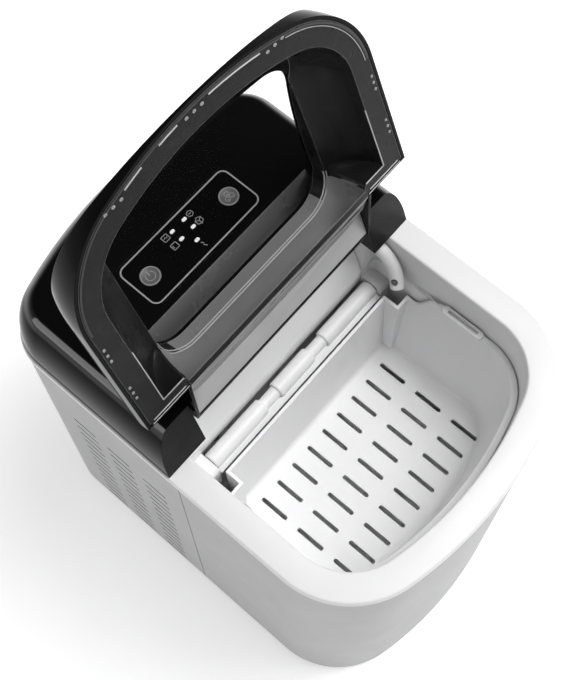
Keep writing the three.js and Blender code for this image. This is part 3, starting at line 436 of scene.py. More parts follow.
def glow(mat, strength):
    """A faint white light of the material's own."""
    bsdf = mat.node_tree.nodes["Principled BSDF"]
    bsdf.inputs["Emission Color"].default_value = (1, 1, 1, 1)
    bsdf.inputs["Emission Strength"].default_value = strength


def shoulder_shine(mat, stops, lowest=1.1, span=0.72):
    """Polish that follows the slope of the skin: the shoulder is glossier than the walls and the top.

    A stop is (how far the skin faces up, share of the span by which the refractive index rises).
    """
    nodes, links = mat.node_tree.nodes, mat.node_tree.links
    facing = nodes.new("ShaderNodeNewGeometry")
    split = nodes.new("ShaderNodeSeparateXYZ")
    links.new(facing.outputs["Normal"], split.inputs[0])
    scale = nodes.new("ShaderNodeValToRGB")
    bar = scale.color_ramp
    bar.elements[0].position, bar.elements[1].position = stops[0][0], stops[-1][0]
    for spot, _ in stops[1:-1]:
        bar.elements.new(spot)
    for element, (_, level) in zip(bar.elements, stops):
        element.color = (level, level, level, 1)
    links.new(split.outputs["Z"], scale.inputs["Fac"])
    index = nodes.new("ShaderNodeMath")
    index.operation = "MULTIPLY_ADD"
    index.inputs[1].default_value = span
    index.inputs[2].default_value = lowest
    links.new(scale.outputs["Color"], index.inputs[0])
    links.new(index.outputs["Value"], nodes["Principled BSDF"].inputs["IOR"])


white_gloss = moulded("white_gloss", grey(0.80), grey(0.82), 0.34, 0.40, 900, 0.06, 0.7, cloud=5)
white_inner = moulded("white_inner", grey(0.85, CREAM), grey(0.88, CREAM), 0.34, 0.42, 1100, 0.08, 0.6,
                      cloud=6)
case_white = moulded("case_white", grey(0.385, BLUISH), grey(0.41, BLUISH), 0.42, 0.50, 2200, 0.26, cloud=6)
gloss_black = moulded("gloss_black", grey(0.0028), grey(0.0042), 0.07, 0.12, 160, 0.012, 0.6, cloud=9)
shoulder_shine(gloss_black, [(0.0, 0.04), (0.50, 0.06), (0.66, 0.95), (0.88, 1.0), (0.975, 0.16),
                             (1.0, 0.12)])
panel_black = moulded("panel_black", grey(0.0026), grey(0.0038), 0.06, 0.10, 160, 0.008, 0.6, cloud=9,
                      ior=1.18)
lid_black = moulded("lid_black", grey(0.0028), grey(0.0042), 0.08, 0.13, 160, 0.012, 0.6, cloud=9, ior=1.16)
# a pale grey for the lid recess's slope: a painted reflection on what is gloss black plastic
slope_painted_reflection = moulded("slope_painted_reflection", grey(0.14), grey(0.175), 0.22, 0.30, 160, 0.02, 0.6, cloud=9)
satin_black = moulded("satin_black", grey(0.012), grey(0.018), 0.34, 0.46, 1600, 0.25, 0.4)
ear_black = moulded("ear_black", grey(0.003), grey(0.005), 0.34, 0.44, 1900, 0.18, 0.3, ior=1.2)
button_grey = moulded("button_grey", grey(0.105), grey(0.13), 0.32, 0.42, 2600, 0.15, 0.3)
eye_grey = moulded("eye_grey", grey(0.10), grey(0.14), 0.14, 0.2, 2600, 0.1, 0.2)
icon_grey = moulded("icon_grey", grey(0.26), grey(0.32), 0.4, 0.5, 2600, 0.1, 0.0)
print_grey = moulded("print_grey", grey(0.34), grey(0.42), 0.34, 0.44, 2400, 0.1, 0.0)
led_white = moulded("led_white", grey(0.82), grey(0.9), 0.25, 0.35, 2600, 0.1, 0.2)
glow(led_white, 0.25)
rubber = moulded("rubber", grey(0.018), grey(0.03), 0.6, 0.8, 1400, 0.5, 0.4)
nylon = moulded("nylon", (0.66, 0.64, 0.56), (0.74, 0.72, 0.65), 0.35, 0.5, 900, 0.15, 0.2)
foam = moulded("foam", (0.7, 0.67, 0.56), (0.84, 0.81, 0.7), 0.85, 0.95, 260, 0.9, 0.0, cloud=60)
steel = moulded("steel", grey(0.5, COLD), grey(0.62, COLD), 0.22, 0.38, 700, 0.15, 0.2, metallic=1.0)
aluminium = moulded("aluminium", grey(0.68), grey(0.8), 0.25, 0.42, 900, 0.2, 0.1, metallic=1.0)
copper = moulded("copper", (0.60, 0.28, 0.16), (0.74, 0.38, 0.24), 0.2, 0.42, 500, 0.15, 0.0,
                 cloud=40, metallic=1.0)
circuit = moulded("circuit", (0.008, 0.07, 0.03), (0.012, 0.11, 0.05), 0.3, 0.45, 500, 0.3, 0.0, cloud=90)
enamel = moulded("enamel", grey(0.012), grey(0.02), 0.2, 0.34, 350, 0.2, 0.4, coat=0.3, coat_r=0.1)


def edge_mask(nodes, links, width):
    """1 along edges and 0 on flat faces, told by how far an eased normal leaves the true one."""
    ease = nodes.new("ShaderNodeBevel")
    ease.samples = 6
    ease.inputs["Radius"].default_value = width * MM
    flat = nodes.new("ShaderNodeNewGeometry")
    dot = nodes.new("ShaderNodeVectorMath")
    dot.operation = "DOT_PRODUCT"
    links.new(ease.outputs["Normal"], dot.inputs[0])
    links.new(flat.outputs["Normal"], dot.inputs[1])
    edge = nodes.new("ShaderNodeMapRange")
    edge.inputs["From Min"].default_value = 0.985
    edge.inputs["From Max"].default_value = 0.80
    edge.inputs["To Min"].default_value = 0.0
    edge.inputs["To Max"].default_value = 1.0
    links.new(dot.outputs["Value"], edge.inputs["Value"])
    return edge.outputs["Result"]


def see_through(name, low, high, alpha, rough, strength, painted_edge_highlight=0.0, specular=0.5, ior=1.5):
    """Thin tinted plastic: what is behind shows through in proportion, and the edges can be painted pale, a
    painted highlight for the light they gather.
    """
    mat, nodes, links, bsdf = shader(name)
    colour = ramp(nodes, links, grain(nodes, links, 16, 3.0), low, high)
    # edge_mask lightens the colour along every edge: a painted highlight, not a paler plastic
    if painted_edge_highlight:
        mix = nodes.new("ShaderNodeMix")
        mix.data_type = "RGBA"
        links.new(edge_mask(nodes, links, 0.9), mix.inputs["Factor"])
        links.new(colour, mix.inputs["A"])
        mix.inputs["B"].default_value = (painted_edge_highlight, painted_edge_highlight, painted_edge_highlight, 1)
        colour = mix.outputs["Result"]
    links.new(colour, bsdf.inputs["Base Color"])
    smears = grain(nodes, links, 70, 5.0)
    links.new(spread(nodes, links, smears, rough, rough * 1.8), bsdf.inputs["Roughness"])
    ease = 0.5 if painted_edge_highlight else 0.0
    soft_edges(nodes, links, bsdf, ease, grain(nodes, links, 60, 3.0), strength)
    bsdf.inputs["Alpha"].default_value = alpha
    bsdf.inputs["IOR"].default_value = ior
    bsdf.inputs["Specular IOR Level"].default_value = specular
    return mat


smoke = see_through("smoke", grey(0.006), grey(0.012), 0.90, 0.22, 0.02, 0.20, specular=0.3, ior=1.36)
# the next three are paler copies of the smoky liner plastic; their grey is painted light standing in for
# sheen, highlights and reflections
smoke_painted_sheen = see_through("smoke_painted_sheen", grey(0.19), grey(0.25), 0.94, 0.26, 0.02, 0.6, specular=0.4)
smoke_painted_highlight = see_through("smoke_painted_highlight", grey(0.40), grey(0.48), 0.95, 0.28, 0.02, 0.7, specular=0.4)
smoke_painted_reflection = see_through("smoke_painted_reflection", grey(0.17), grey(0.22), 0.92, 0.24, 0.02, 0.5, specular=0.4)
# a pale smoke for thin ribs, whose light tone is a painted highlight line
smoke_painted_edge_shine = see_through("smoke_painted_edge_shine", grey(0.42), grey(0.58), 0.95, 0.16, 0.02)
window_clear = see_through("window_clear", grey(0.003), grey(0.005), 0.05, 0.16, 0.0, specular=0.04)


# ---- case ----
def wall_shell(name):
    """The case wall with an eased bottom edge."""
    rings = [at(plan(CASE, CASE_INSET + CASE_EASE), CASE_BOTTOM)]
    for t in np.linspace(0, PI / 2, 6):
        inset = CASE_INSET + CASE_EASE * (1 - math.sin(t))
        rings.append(at(plan(CASE, inset), CASE_BOTTOM + CASE_EASE * (1 - math.cos(t))))
    rings.append(at(plan(CASE, CASE_INSET), DECK_BOTTOM - 0.3))
    return cut(loft(name, rings), slab("inside", plan(CASE, WALL + CASE_INSET), 0.0, 300.0))


front = cut(keep(wall_shell("front_case"), box("front_half", -140, 140, -220, SEAM_Y - 0.35, 0, 300)),
            rod("drain_way", 11.6, 90, 130, (0, DRAIN_Y, PORT_Z), "X"))
finish(front, "housing", case_white, ["front_shell"])

back_case = keep(wall_shell("rear_case"), box("rear_half", -140, 140, SEAM_Y + 0.35, 220, 0, 300))
slots = []
for side in (-1, 1):
    x0, x1 = sorted((side * 108.5, side * 116.5))
    for y in VENT_COLUMNS:
        for row in range(VENT_ROWS):
            z = VENT_LOW + VENT_STEP * row
            ends = [arc(y + 19.1, z, VENT_HALF, -PI / 2, PI / 2, 6),
                    arc(y + 0.9, z, VENT_HALF, PI / 2, 1.5 * PI, 6)]
            slots.append(prism_x("slot", np.vstack(ends), x0, x1))
for row in range(GRILLE_ROWS):
    z = GRILLE_LOW + GRILLE_STEP * row
    ring = rounded_rect(-GRILLE_HALF, GRILLE_HALF, z - 1.2, z + 1.2, 1.1, 5)
    rings = [np.c_[ring[:, 0], np.full(len(ring), y), ring[:, 1]] for y in (170.0, 140.0)]
    slots.append(loft("grille", rings))
cut(back_case, merge("slots", slots), rod("gland_way", 9.0, 130, 175, (CORD_X, 0, PORT_Z), "Y"))
finish(back_case, "housing", case_white, ["rear_shell"])
back_case.data.materials.append(satin_black)
for poly in back_case.data.polygons:
    # the side slots' inner walls, painted near black as shade: the real walls are the case's own white
    # plastic
    c = poly.center / MM
    if 110.6 < abs(c.x) < 113.3 and abs(poly.normal.x) < 0.3 and 12.0 < c.z < 212.0 and 10.0 < c.y < 96.0:
        poly.material_index = 1


# ---- deck and tub ----
def tub_space(grow, tag):
    """The hollow of tub, mouth and freezing chamber; grown, the outer face of the tub's wall."""
    back = MOUTH_REAR + grow
    floor = TUB_FLOOR + WALL - grow
    rings = [at(plan(CASE, FLOOR_INSET + FLOOR_EASE - grow, back - FLOOR_EASE), floor)]
    for t in np.linspace(0, PI / 2, 6)[1:]:
        k = FLOOR_EASE * (1 - math.sin(t))
        rings.append(at(plan(CASE, FLOOR_INSET + k - grow, back - k), floor + FLOOR_EASE * (1 - math.cos(t))))
    rings.append(at(plan(CASE, LEDGE_INSET - grow, back), LEDGE_Z + 0.1))
    well = loft("well" + tag, rings)
    rings = [at(plan(CASE, RIM + 1.8 - grow, back - 1.0), LEDGE_Z - grow),
             at(plan(CASE, RIM + 0.8 - grow, back), LEDGE_Z - grow + 1.0),
             at(plan(CASE, RIM + 0.02 - grow, back), DECK_TOP - MOUTH_EASE)]
    top_inset = RIM - grow
    if not grow:
        top_inset = RIM - MOUTH_EASE
        for t in np.linspace(0, PI / 2, 7)[1:]:
            inset = RIM - MOUTH_EASE * (1 - math.cos(t))
            rings.append(at(plan(CASE, inset, back), DECK_TOP - MOUTH_EASE * (1 - math.sin(t))))
    rings.append(at(plan(CASE, top_inset, back), DECK_TOP + 2))
    mouth = loft("mouth" + tag, rings)
    half = CHAMBER_HALF + grow
    outline = rounded_rect(-half, half, 0, CHAMBER_REAR + grow, 3 + grow)
    return join(mouth, well, slab("chamber" + tag, outline, CHAMBER_FLOOR - grow, DECK_TOP + 2.5))


def deck_plate():
    """The deck's plate, eased along its lower and its upper edge."""
    rings = []
    for t in np.linspace(0, PI / 2, 4):
        rings.append(at(plan(CASE, 0.8 * (1 - math.sin(t))), DECK_BOTTOM + 0.8 * (1 - math.cos(t))))
    for t in np.linspace(0, PI / 2, 8):
        rings.append(at(plan(CASE, RIM_EASE * (1 - math.cos(t))), DECK_TOP - RIM_EASE * (1 - math.sin(t))))
    return loft("deck", rings)


deck = deck_plate()
tub = keep(tub_space(WALL, "_out"), box("tub_keep", -130, 130, -180, 100, 90, DECK_BOTTOM + 0.5))
cut(join(deck, tub), tub_space(0.0, "_in"))
cut(deck, slab("under_cover", rounded_rect(-96, 96, CHAMBER_REAR + 8, 138, 6), DECK_BOTTOM - 1, DECK_TOP + 1))
for side in (-1, 1):
    x = side * (CHAMBER_HALF + 8.0)
    foot_z, rear = SHOVEL_Z - 22.0, MOUTH_REAR + 1.8
    post = np.vstack([[(SHOVEL_Y - 9.0, foot_z), (rear, foot_z), (rear, SHOVEL_Z + 5.5)],
                      arc(SHOVEL_Y - 3.5, SHOVEL_Z, 5.4, PI / 2, PI, 10)])
    join(deck, prism_x("post", post, x - 7.9, x + 7.8))
cut(deck, rod("shovel_bore", 2.7, -86, 86, (0, SHOVEL_Y, SHOVEL_Z), "X"),
    rod("tray_bore", 3.8, -86, 86, (0, 38, 236), "X"),
    rod("drain_bore", 4.6, 105, 120, (0, DRAIN_Y, 0)), rod("spout_bore", 4.6, 144, 156, (-52, 30, 0)),
    rod("pipe_bore", 4.0, 60, 70, (62, 0, 262.5), "Y"))
finish(deck, "housing", white_gloss, ["deck_and_tub"])


# ---- rear cover ----
def cover_dome(tag, wall):
    """Steep sides under an elliptic shoulder; with a wall, the cover's inner face."""
    a, h = DOME_A - wall, DOME_H - wall
    rings = [at(plan(CASE, COVER_INSET + wall), 240.0)]
    for t in np.linspace(0, PI / 2, 20):
        inset = COVER_INSET + DOME_A - a * math.cos(t)
        rings.append(at(plan(CASE, inset), COVER_TOP - DOME_H + h * math.sin(t)))
    return loft("dome" + tag, rings)


def cover_region(tag, g):
    """Where the cover may be: behind the leaning ear faces, and clear of the lid's recess."""
    lean = [(g - LEAN * 40, DECK_TOP - 40), (230, DECK_TOP - 40), (230, 340),
            (g + LEAN * (340 - DECK_TOP), 340)]
    region = prism_x("region" + tag, lean, -130, 130)
    profile = [(-60, 240), (RECESS_REAR + g, 240), (RECESS_REAR + g, RECESS_Z),
               (SLOPE_Y - 1.5 + g, COVER_TOP - 2.2), (SLOPE_Y + 1.2 + g, COVER_TOP),
               (SLOPE_Y + 1.2 + g, 345), (-60, 345)]
    return cut(region, prism_x("recess" + tag, profile, -RECESS_HALF - g, RECESS_HALF + g))


cover = keep(cover_dome("_o", 0.0), cover_region("_o", 0.0),
             box("cover_keep", -140, 140, -20, 180, DECK_TOP + 0.3, 345))
cut(cover, keep(cover_dome("_i", WALL), cover_region("_i", WALL)))
for side in (-1, 1):
    x = side * (RECESS_HALF + 5)
    join(cover, box("boss", x - 4.6, x + 4.9, HINGE_Y - 8, HINGE_Y + 8, HINGE_Z - 9, HINGE_Z + 4))
cut(cover, rod("hinge_bore", 5.4, -90.6, 90.6, (0, HINGE_Y, HINGE_Z), "X"))
pocket = rounded_rect(-PANEL[0], PANEL[0], PANEL[1], PANEL[2], 5)
cut(cover, slab("panel_pocket", pocket, COVER_TOP - PANEL[3], COVER_TOP + 2),
    box("panel_well", -42, 42, PANEL[1] + 5, PANEL[2] - 3.5, COVER_TOP - 6, COVER_TOP))
finish(cover, "housing", gloss_black, ["rear_cover"])
cover.data.materials.append(ear_black)
cover.data.materials.append(slope_painted_reflection)
for poly in cover.data.polygons:
    n, c = poly.normal, poly.center / MM
    in_recess = abs(c.x) < RECESS_HALF and RECESS_REAR - 0.1 < c.y < SLOPE_Y + 1.4
    if n.y < -0.95 and c.y < 14 and c.z < COVER_TOP:
        poly.material_index = 1
    # the recess slope takes the pale grey material: a painted reflection, the real slope being the cover's
    # gloss black
    if in_recess and n.y < -0.3 and c.z < COVER_TOP - 0.1:
        poly.material_index = 2

panel_outline = rounded_rect(-PANEL[0] + 0.2, PANEL[0] - 0.2, PANEL[1] + 0.2, PANEL[2] - 0.2, 4.8)
plate = slab("panel_plate", panel_outline, COVER_TOP - PANEL[3] + 0.3, COVER_TOP)
for side in (-1, 1):
    cut(plate, rod("button_way", BUTTON_R + 0.35, 310, 330, (side * BUTTON_X, BUTTON_Y, 0)))
for x, y in LED_SPOTS:
    cut(plate, slab("led_way", rounded_rect(x - 2.0, x + 2.0, y - 1.3, y + 1.3, 1.25), 310, 330))
finish(plate, "housing", panel_black, ["control_panel"])

frame_path = rounded_rect(-47.1, 47.1, 66, 98.6, 5)
frame_line = stroke("panel_frame_line", frame_path, 0.95, COVER_TOP - 0.2, PRINT, True)
finish(frame_line, "housing", print_grey)


def glyphs(name, lines, width, z0, z1, body):
    """Small printed marks as one piece; a line is its points and whether it closes."""
    ob = merge(name, [stroke("g", pts, width, z0, z1, loop) for pts, loop in lines])
    finish(ob, body, icon_grey)


def hexagon(x, y, r):
    return [(x + r * math.cos(PI / 6 + k * PI / 3), y + r * math.sin(PI / 6 + k * PI / 3)) for k in range(6)]


icons = [
    (hexagon(10.9, 92.6, 2.2), True),
    ([(10.0, 93.0), (10.9, 92.4), (11.8, 93.0)], False),
    (hexagon(11.2, 85.1, 2.6), True),
    ([(11.2, 85.1), (11.2, 82.7)], False),
    ([(9.2, 86.3), (11.2, 85.1), (13.2, 86.3)], False),
    (rounded_rect(-13.2, -8.8, 90.4, 94.6, 0.5, 3), True),
    ([(-12.4, 92.3), (-11.2, 93.0), (-10.4, 92.1), (-9.6, 92.7)], False),
    (rounded_rect(-13.2, -8.9, 82.6, 86.7, 0.5, 3), True),
    ([(-12.2, 85.7), (-12.2, 83.6)], False),
    ([(0.9, 74.4), (2.0, 72.6), (1.0, 72.3), (2.2, 70.0)], False),
]
glyphs("panel_icons", icons, 0.55, COVER_TOP - 0.2, PRINT, "housing")


def button(name, x, icon):
    """A round cap on a collar and a stem, with a pale rim ring and its mark."""
    r, top, ease = BUTTON_R, COVER_TOP + 0.35, 0.35
    profile = [(0, top - 7.2), (1.6, top - 7.2), (1.6, top - 4.4), (r + 0.9, top - 4.4),
               (r + 0.9, top - 3.1), (r, top - 3.1), (r, top - ease)]
    for t in np.linspace(0, PI / 2, 5)[1:]:
        profile.append((r - ease * (1 - math.cos(t)), top - ease * (1 - math.sin(t))))
    profile += [(r - 0.9, top), (r - 1.1, top - 0.12), (0, top - 0.12)]
    ob = turned(name + "_cap", profile, (x, BUTTON_Y, 0), "Z", 56)
    finish(ob, name, button_grey, [name])
    ob.data.materials.append(icon_grey)
    for poly in ob.data.polygons:
        c = poly.center / MM
        on_rim = math.hypot(c.x - x, c.y - BUTTON_Y) > r - 1.0
        if on_rim and poly.normal.z > 0.3 and c.z > top - 0.5:
            poly.material_index = 1
    glyphs(name + "_mark", icon, 0.6, top - 0.3, top, name)


power_mark = [(arc(-BUTTON_X, BUTTON_Y - 0.2, 3.1, 0.72 * PI, 2.28 * PI, 19), False),
              ([(-BUTTON_X, BUTTON_Y + 3.6), (-BUTTON_X, BUTTON_Y + 0.3)], False)]
button("power_button", -BUTTON_X, power_mark)
cubes = []
for dx, dy in ((-1.9, -1.1), (1.9, -1.1), (0.2, 2.0)):
    cubes += [(hexagon(BUTTON_X + dx, BUTTON_Y + dy, 1.7), True),
              ([(BUTTON_X + dx, BUTTON_Y + dy), (BUTTON_X + dx, BUTTON_Y + dy - 1.65)], False)]
button("select_button", BUTTON_X, cubes)

pills = [slab("led", rounded_rect(x - 1.75, x + 1.75, y - 1.1, y + 1.1, 1.05, 6), 317.2, COVER_TOP - 0.08)
         for x, y in LED_SPOTS]
lights = merge("led_pills", pills)
finish(lights, "housing", led_white, ["led_light_guide"])


# ---- lid (closed position, then opened) ----
def lid_plan(inset):
    """The lid's plan: a bowed front and straight sides that run on past its rear edge."""
    return plan(LID, inset, 90.0, 2.0)


def window_plan(inset):
    return plan(WINDOW, inset, WINDOW_REAR - inset, WINDOW_REAR_CORNER - inset)


def crown(y):
    """Height of the lid's top skin: flat at the back, falling in an arc to the front."""
    return LID_TOP if y > CROWN_Y else LID_TOP - CROWN_R + math.sqrt(CROWN_R ** 2 - (y - CROWN_Y) ** 2)


def crowned_cap(tag, wall):
    """The lid's top skin as a side profile, so that its crown is a true curve from front to back."""
    ys = np.r_[np.linspace(-170, CROWN_Y, 48), 95.0]
    profile = [(y, crown(y) - wall) for y in ys] + [(95.0, 255.0), (-170.0, 255.0)]
    return prism_x("crown" + tag, profile, -130, 130)


def lid_region(tag, g):
    """Where the lid may be: in front of its leaning rear edge, and in its tab."""
    def lean(z):
        return -LID_GAP + LEAN * (z - LID_BOTTOM) - g
    wide = prism_x("wide" + tag, [(-210, 255), (lean(255), 255), (lean(345), 345), (-210, 345)], -125, 125)
    tab_side = [(-60, 255), (TAB_REAR - g, 255), (TAB_REAR - g, 345), (-60, 345)]
    return join(wide, prism_x("tab" + tag, tab_side, -TAB_HALF + g, TAB_HALF - g))


def above_edge(tag, lift):
    """All that lies above the lid's lower edge, which climbs along the tab."""
    side = [(-210, LID_BOTTOM + lift), (-LID_GAP, LID_BOTTOM + lift), (TAB_REAR, 296 + lift),
            (95, 300.5 + lift), (95, 360), (-210, 360)]
    return prism_x("above" + tag, side, -135, 135)


def lid_body(tag, wall, lift):
    """The lid's solid; with a wall, what is left inside a skin of that thickness."""
    a, h = LID_SHOULDER - wall, LID_SHOULDER_H - wall
    rings = [at(lid_plan(wall), 262.0)]
    for t in np.linspace(0, PI / 2, 22):
        height = LID_TOP - LID_SHOULDER_H + h * math.sin(t)
        rings.append(at(lid_plan(LID_SHOULDER - a * math.cos(t)), height))
    ob = loft("lid_body" + tag, rings)
    return keep(ob, lid_region(tag, wall), crowned_cap(tag, wall), above_edge(tag, lift))


def window_prism(tag, inset):
    return slab("window" + tag, window_plan(inset), 285.0, 340.0)


lid = cut(lid_body("_o", 0.0, 0.0), lid_body("_i", LID_WALL, -6.0), window_prism("_cut", 0.0))
lid.name = "lid_outer_shell"
finish(open_lid(lid), "lid", lid_black, ["lid_shell"])

pane = keep(cut(lid_body("_po", 0.2, 0.0), lid_body("_pi", LID_WALL, -6.0)), window_prism("_pane", 0.25))
pane.name = "lid_window_pane"
finish(open_lid(pane), "lid", window_clear, ["lid_window"])


def liner_mouth():
    """The liner's mouth from above: the wide front part, then a round-cornered bay in the tab."""
    p = LINER
    cx, bow = p["half"] - p["front_c"], p["front"] + p["front_r"]
    cy = bow - math.sqrt((p["front_r"] - p["front_c"]) ** 2 - cx ** 2)
    turn = math.atan2(cy - bow, cx)
    straight = np.linspace(cy, BAY_SHOULDER - 3.0, 8)[:-1]
    half = np.vstack([
        np.c_[np.full(7, p["half"]), straight], arc(p["half"] - 3.0, BAY_SHOULDER - 3.0, 3.0, 0, PI / 2, 6),
        np.c_[np.linspace(p["half"] - 5.0, BAY_HALF + 3.5, 6), np.full(6, BAY_SHOULDER)],
        arc(BAY_HALF + 3.0, BAY_SHOULDER + 3.0, 3.0, 1.5 * PI, PI, 6),
        arc(BAY_HALF - BAY_CORNER, BAY_BACK - BAY_CORNER, BAY_CORNER, 0, PI / 2, 16),
        np.c_[np.linspace(BAY_HALF - BAY_CORNER - 3.0, 1.0, 14), np.full(14, BAY_BACK)]])
    other = half[::-1] * np.array([-1, 1])
    front = np.vstack([arc(-cx, cy, p["front_c"], PI, PI - turn, 24)[1:],
                       arc(0, bow, p["front_r"], PI - turn, 2 * PI + turn, 40)[1:],
                       arc(cx, cy, p["front_c"], 2 * PI + turn, 2 * PI, 24)[1:-1]])
    return np.vstack([half, other, front])


def ray_exit(outline, centre, direction):
    """Where a ray from the centre leaves a closed outline."""
    a = outline - centre
    b = np.roll(outline, -1, axis=0) - outline
    cross = direction[0] * b[:, 1] - direction[1] * b[:, 0]
    cross = np.where(np.abs(cross) < 1e-12, 1e-12, cross)
    reach = (a[:, 0] * b[:, 1] - a[:, 1] * b[:, 0]) / cross
    share = (a[:, 0] * direction[1] - a[:, 1] * direction[0]) / cross
    good = (reach > 0) & (share > -1e-6) & (share < 1 + 1e-6)
    return centre + direction * reach[good].max()


def liner_edge(y):
    """Height of the liner's lower edge, which climbs along the bay."""
    share = (y + LID_GAP) / (BAY_BACK + LID_GAP)
    return LID_BOTTOM + (BAY_Z - LID_BOTTOM) * min(1.0, max(0.0, share))


def liner_space(tag, grow):
    """Concave walls from the mouth up to the window's edge; grown, the liner's outer face."""
    centre = np.array([0.0, -45.0])
    mouth = liner_mouth()
    eye = window_plan(0.0)
    out = mouth - centre
    out /= np.linalg.norm(out, axis=1)[:, None]
    ends = np.array([ray_exit(eye, centre, d) for d in out])
    start = np.array([liner_edge(y) - (0.0 if grow else 0.02) for y in mouth[:, 1]])
    rings = []
    for t in np.linspace(0, 1, 20):
        inward = 0.5 * t + 0.5 * (1 - math.cos(t * PI / 2))
        upward = 0.5 * t + 0.5 * math.sin(t * PI / 2)
        ring = mouth + (ends - mouth) * inward + out * grow
        rings.append(np.c_[ring, start + (LINER_TOP - start) * upward])
    rings.append(at(rings[-1][:, :2], 336.0))
    return loft("liner_space" + tag, rings)


tab_floor = [(-LID_GAP - 1.0, LID_BOTTOM), (-LID_GAP, LID_BOTTOM), (BAY_BACK, BAY_Z), (TAB_REAR, BAY_Z + 0.7)]
tab_skin = [(y, z + SKIN) for y, z in reversed(tab_floor)]
liner = slab("liner", lid_plan(CLEAR), LID_BOTTOM, LID_BOTTOM + SKIN)
keep(liner, box("wide_part", -130, 130, -200, -LID_GAP, 270, 300))
join(liner, prism_x("tab_floor", tab_floor + tab_skin, -TAB_HALF + CLEAR, TAB_HALF - CLEAR))
join(liner, liner_space("_o", SKIN))
cut(liner, liner_space("_i", 0.0))
keep(liner, lid_body("_li", CLEAR, 0.2))
liner.name = "lid_inner_liner"
slot_of = {}
# bay and window-edge faces get the paler smoke copies by facing: painted light on one smoky plastic
for poly in liner.data.polygons:
    n, c = poly.normal, poly.center / MM
    in_bay = c.y > -11.0 and abs(c.x) < TAB_HALF
    behind_window = c.y > 2.0 and abs(c.x) < 70 and c.z > LINER_TOP - 2
    if in_bay and n.z < -0.9 and c.y > BAY_BACK - 0.2:
        slot_of[poly.index] = 2
    elif in_bay and n.z < -0.1:
        slot_of[poly.index] = 1
    elif behind_window and abs(n.y) > 0.8:
        slot_of[poly.index] = 3
finish(open_lid(liner), "lid", smoke, ["lid_liner"])
for extra in (smoke_painted_sheen, smoke_painted_highlight, smoke_painted_reflection):
    liner.data.materials.append(extra)
for index, slot_number in slot_of.items():
    liner.data.polygons[index].material_index = slot_number


def lid_line(name, outline, width, material, z0=LID_BOTTOM - 0.12, z1=LID_BOTTOM + 0.6):
    """A thin moulded bead that follows part of an outline on the liner, drawn with the lid shut."""
    finish(open_lid(stroke(name, outline, width, z0, z1)), "lid", material)


def along(outline, keep_point):
    return [tuple(p) for p in outline if keep_point(p)]


def ahead_of_hinge(p):
    return p[1] < -LID_GAP - 6


def snap_clips():
    """Groups of three small clips along the liner's sides and front."""
    spots = [(side * 106.4, y + step, 0.8, 0.9)
             for side in (-1, 1) for y in (-36.0, -72.0) for step in (-5.0, 0.0, 5.0)]
    spots += [(x + step, -154.0 + 0.0021 * x * x, 1.1, 0.8)
              for x in (-63.0, -2.0, 55.0) for step in (-5.5, 0.0, 5.5)]
    outlines = [rounded_rect(x - a, x + a, y - b, y + b, 0.7, 4) for x, y, a, b in spots]
    low, high = LID_BOTTOM - 0.12, LID_BOTTOM + 0.5
    return merge("liner_snap_clips", [slab("clip", outline, low, high) for outline in outlines])


lid_line("liner_outer_bead", along(lid_plan(CLEAR + 1.3), ahead_of_hinge), 1.3, satin_black, LID_BOTTOM - 0.1)
inner_run = along(lid_plan(CLEAR + 3.0), ahead_of_hinge)
# short runs along the front in the pale smoke: painted highlight segments on the bead
for k, (x0, x1) in enumerate(((-58.0, -40.0), (-28.0, -12.0), (6.0, 46.0))):
    run = along(inner_run, lambda p: x0 < p[0] < x1 and p[1] < -120)
    lid_line("liner_painted_highlight_run_%d" % (k + 1), run, 0.8, smoke_painted_highlight)
# a thin corner line in the pale smoke copy: a painted highlight
lid_line("liner_corner_run", along(inner_run, lambda p: p[0] > 62 and p[1] < -70), 0.45, smoke_painted_sheen)
# the window, flange and mouth ribs are drawn in the pale smoke: painted highlight lines
for k, (grow, low) in enumerate(((0.3, LINER_TOP - 0.8), (-0.9, LINER_TOP + 0.4))):
    ring = along(window_plan(-grow), lambda p: p[1] > -18.0)
    lid_line("window_rib_%d" % (k + 1), ring, 0.42, smoke_painted_edge_shine, low, low + 0.8)
for side, tag in ((-1, "left"), (1, "right")):
    for k, y in enumerate((-LID_GAP - 1.2, -LID_GAP - 3.4)):
        run = [(side * (TAB_HALF - 1.5 + 2.0 * k), y), (side * (107.0 - 1.6 * k), y)]
        lid_line("flange_rib_%s_%d" % (tag, k + 1), run, 0.6, smoke_painted_edge_shine, LID_BOTTOM - 0.15)
    lip_y = BAY_SHOULDER - 0.6
    lip = [(side * 94.7, -60.0), (side * 94.7, lip_y), (side * (BAY_HALF + 2.0), lip_y)]
    lid_line("mouth_rib_" + tag, lip, 0.5, smoke_painted_edge_shine, LID_BOTTOM - 0.1, LID_BOTTOM + 0.5)
# the clips are real; their pale tone is a painted highlight on the smoky plastic
finish(open_lid(snap_clips()), "lid", smoke_painted_sheen)


# ---- basket ----
def basket_space(tag, grow, floor, soft):
    """The basket's solid, bowl-shaped at the floor; grown inwards, the room inside it."""
    back = BASKET_REAR - grow
    rings = []
    for t in np.linspace(0, PI / 2, 7):
        k, h = soft * (1 - math.sin(t)), soft * (1 - math.cos(t))
        rings.append(at(plan(CASE, BASKET_FLOOR_INSET + grow + k, back - 4 - k, 3), floor + h))
    rings.append(at(plan(CASE, BASKET_INSET + grow, back, 3), BASKET_HIGH + 0.5))
    return loft("basket" + tag, rings)


def notches(tag, grow):
    """The two rear corners that the basket leaves free."""
    x, y = NOTCH_X - grow, NOTCH_Y - grow
    return boxes("notches" + tag, [(x, 130, y, 30, 100, 300), (-130, -x, y, 30, 100, 300)])


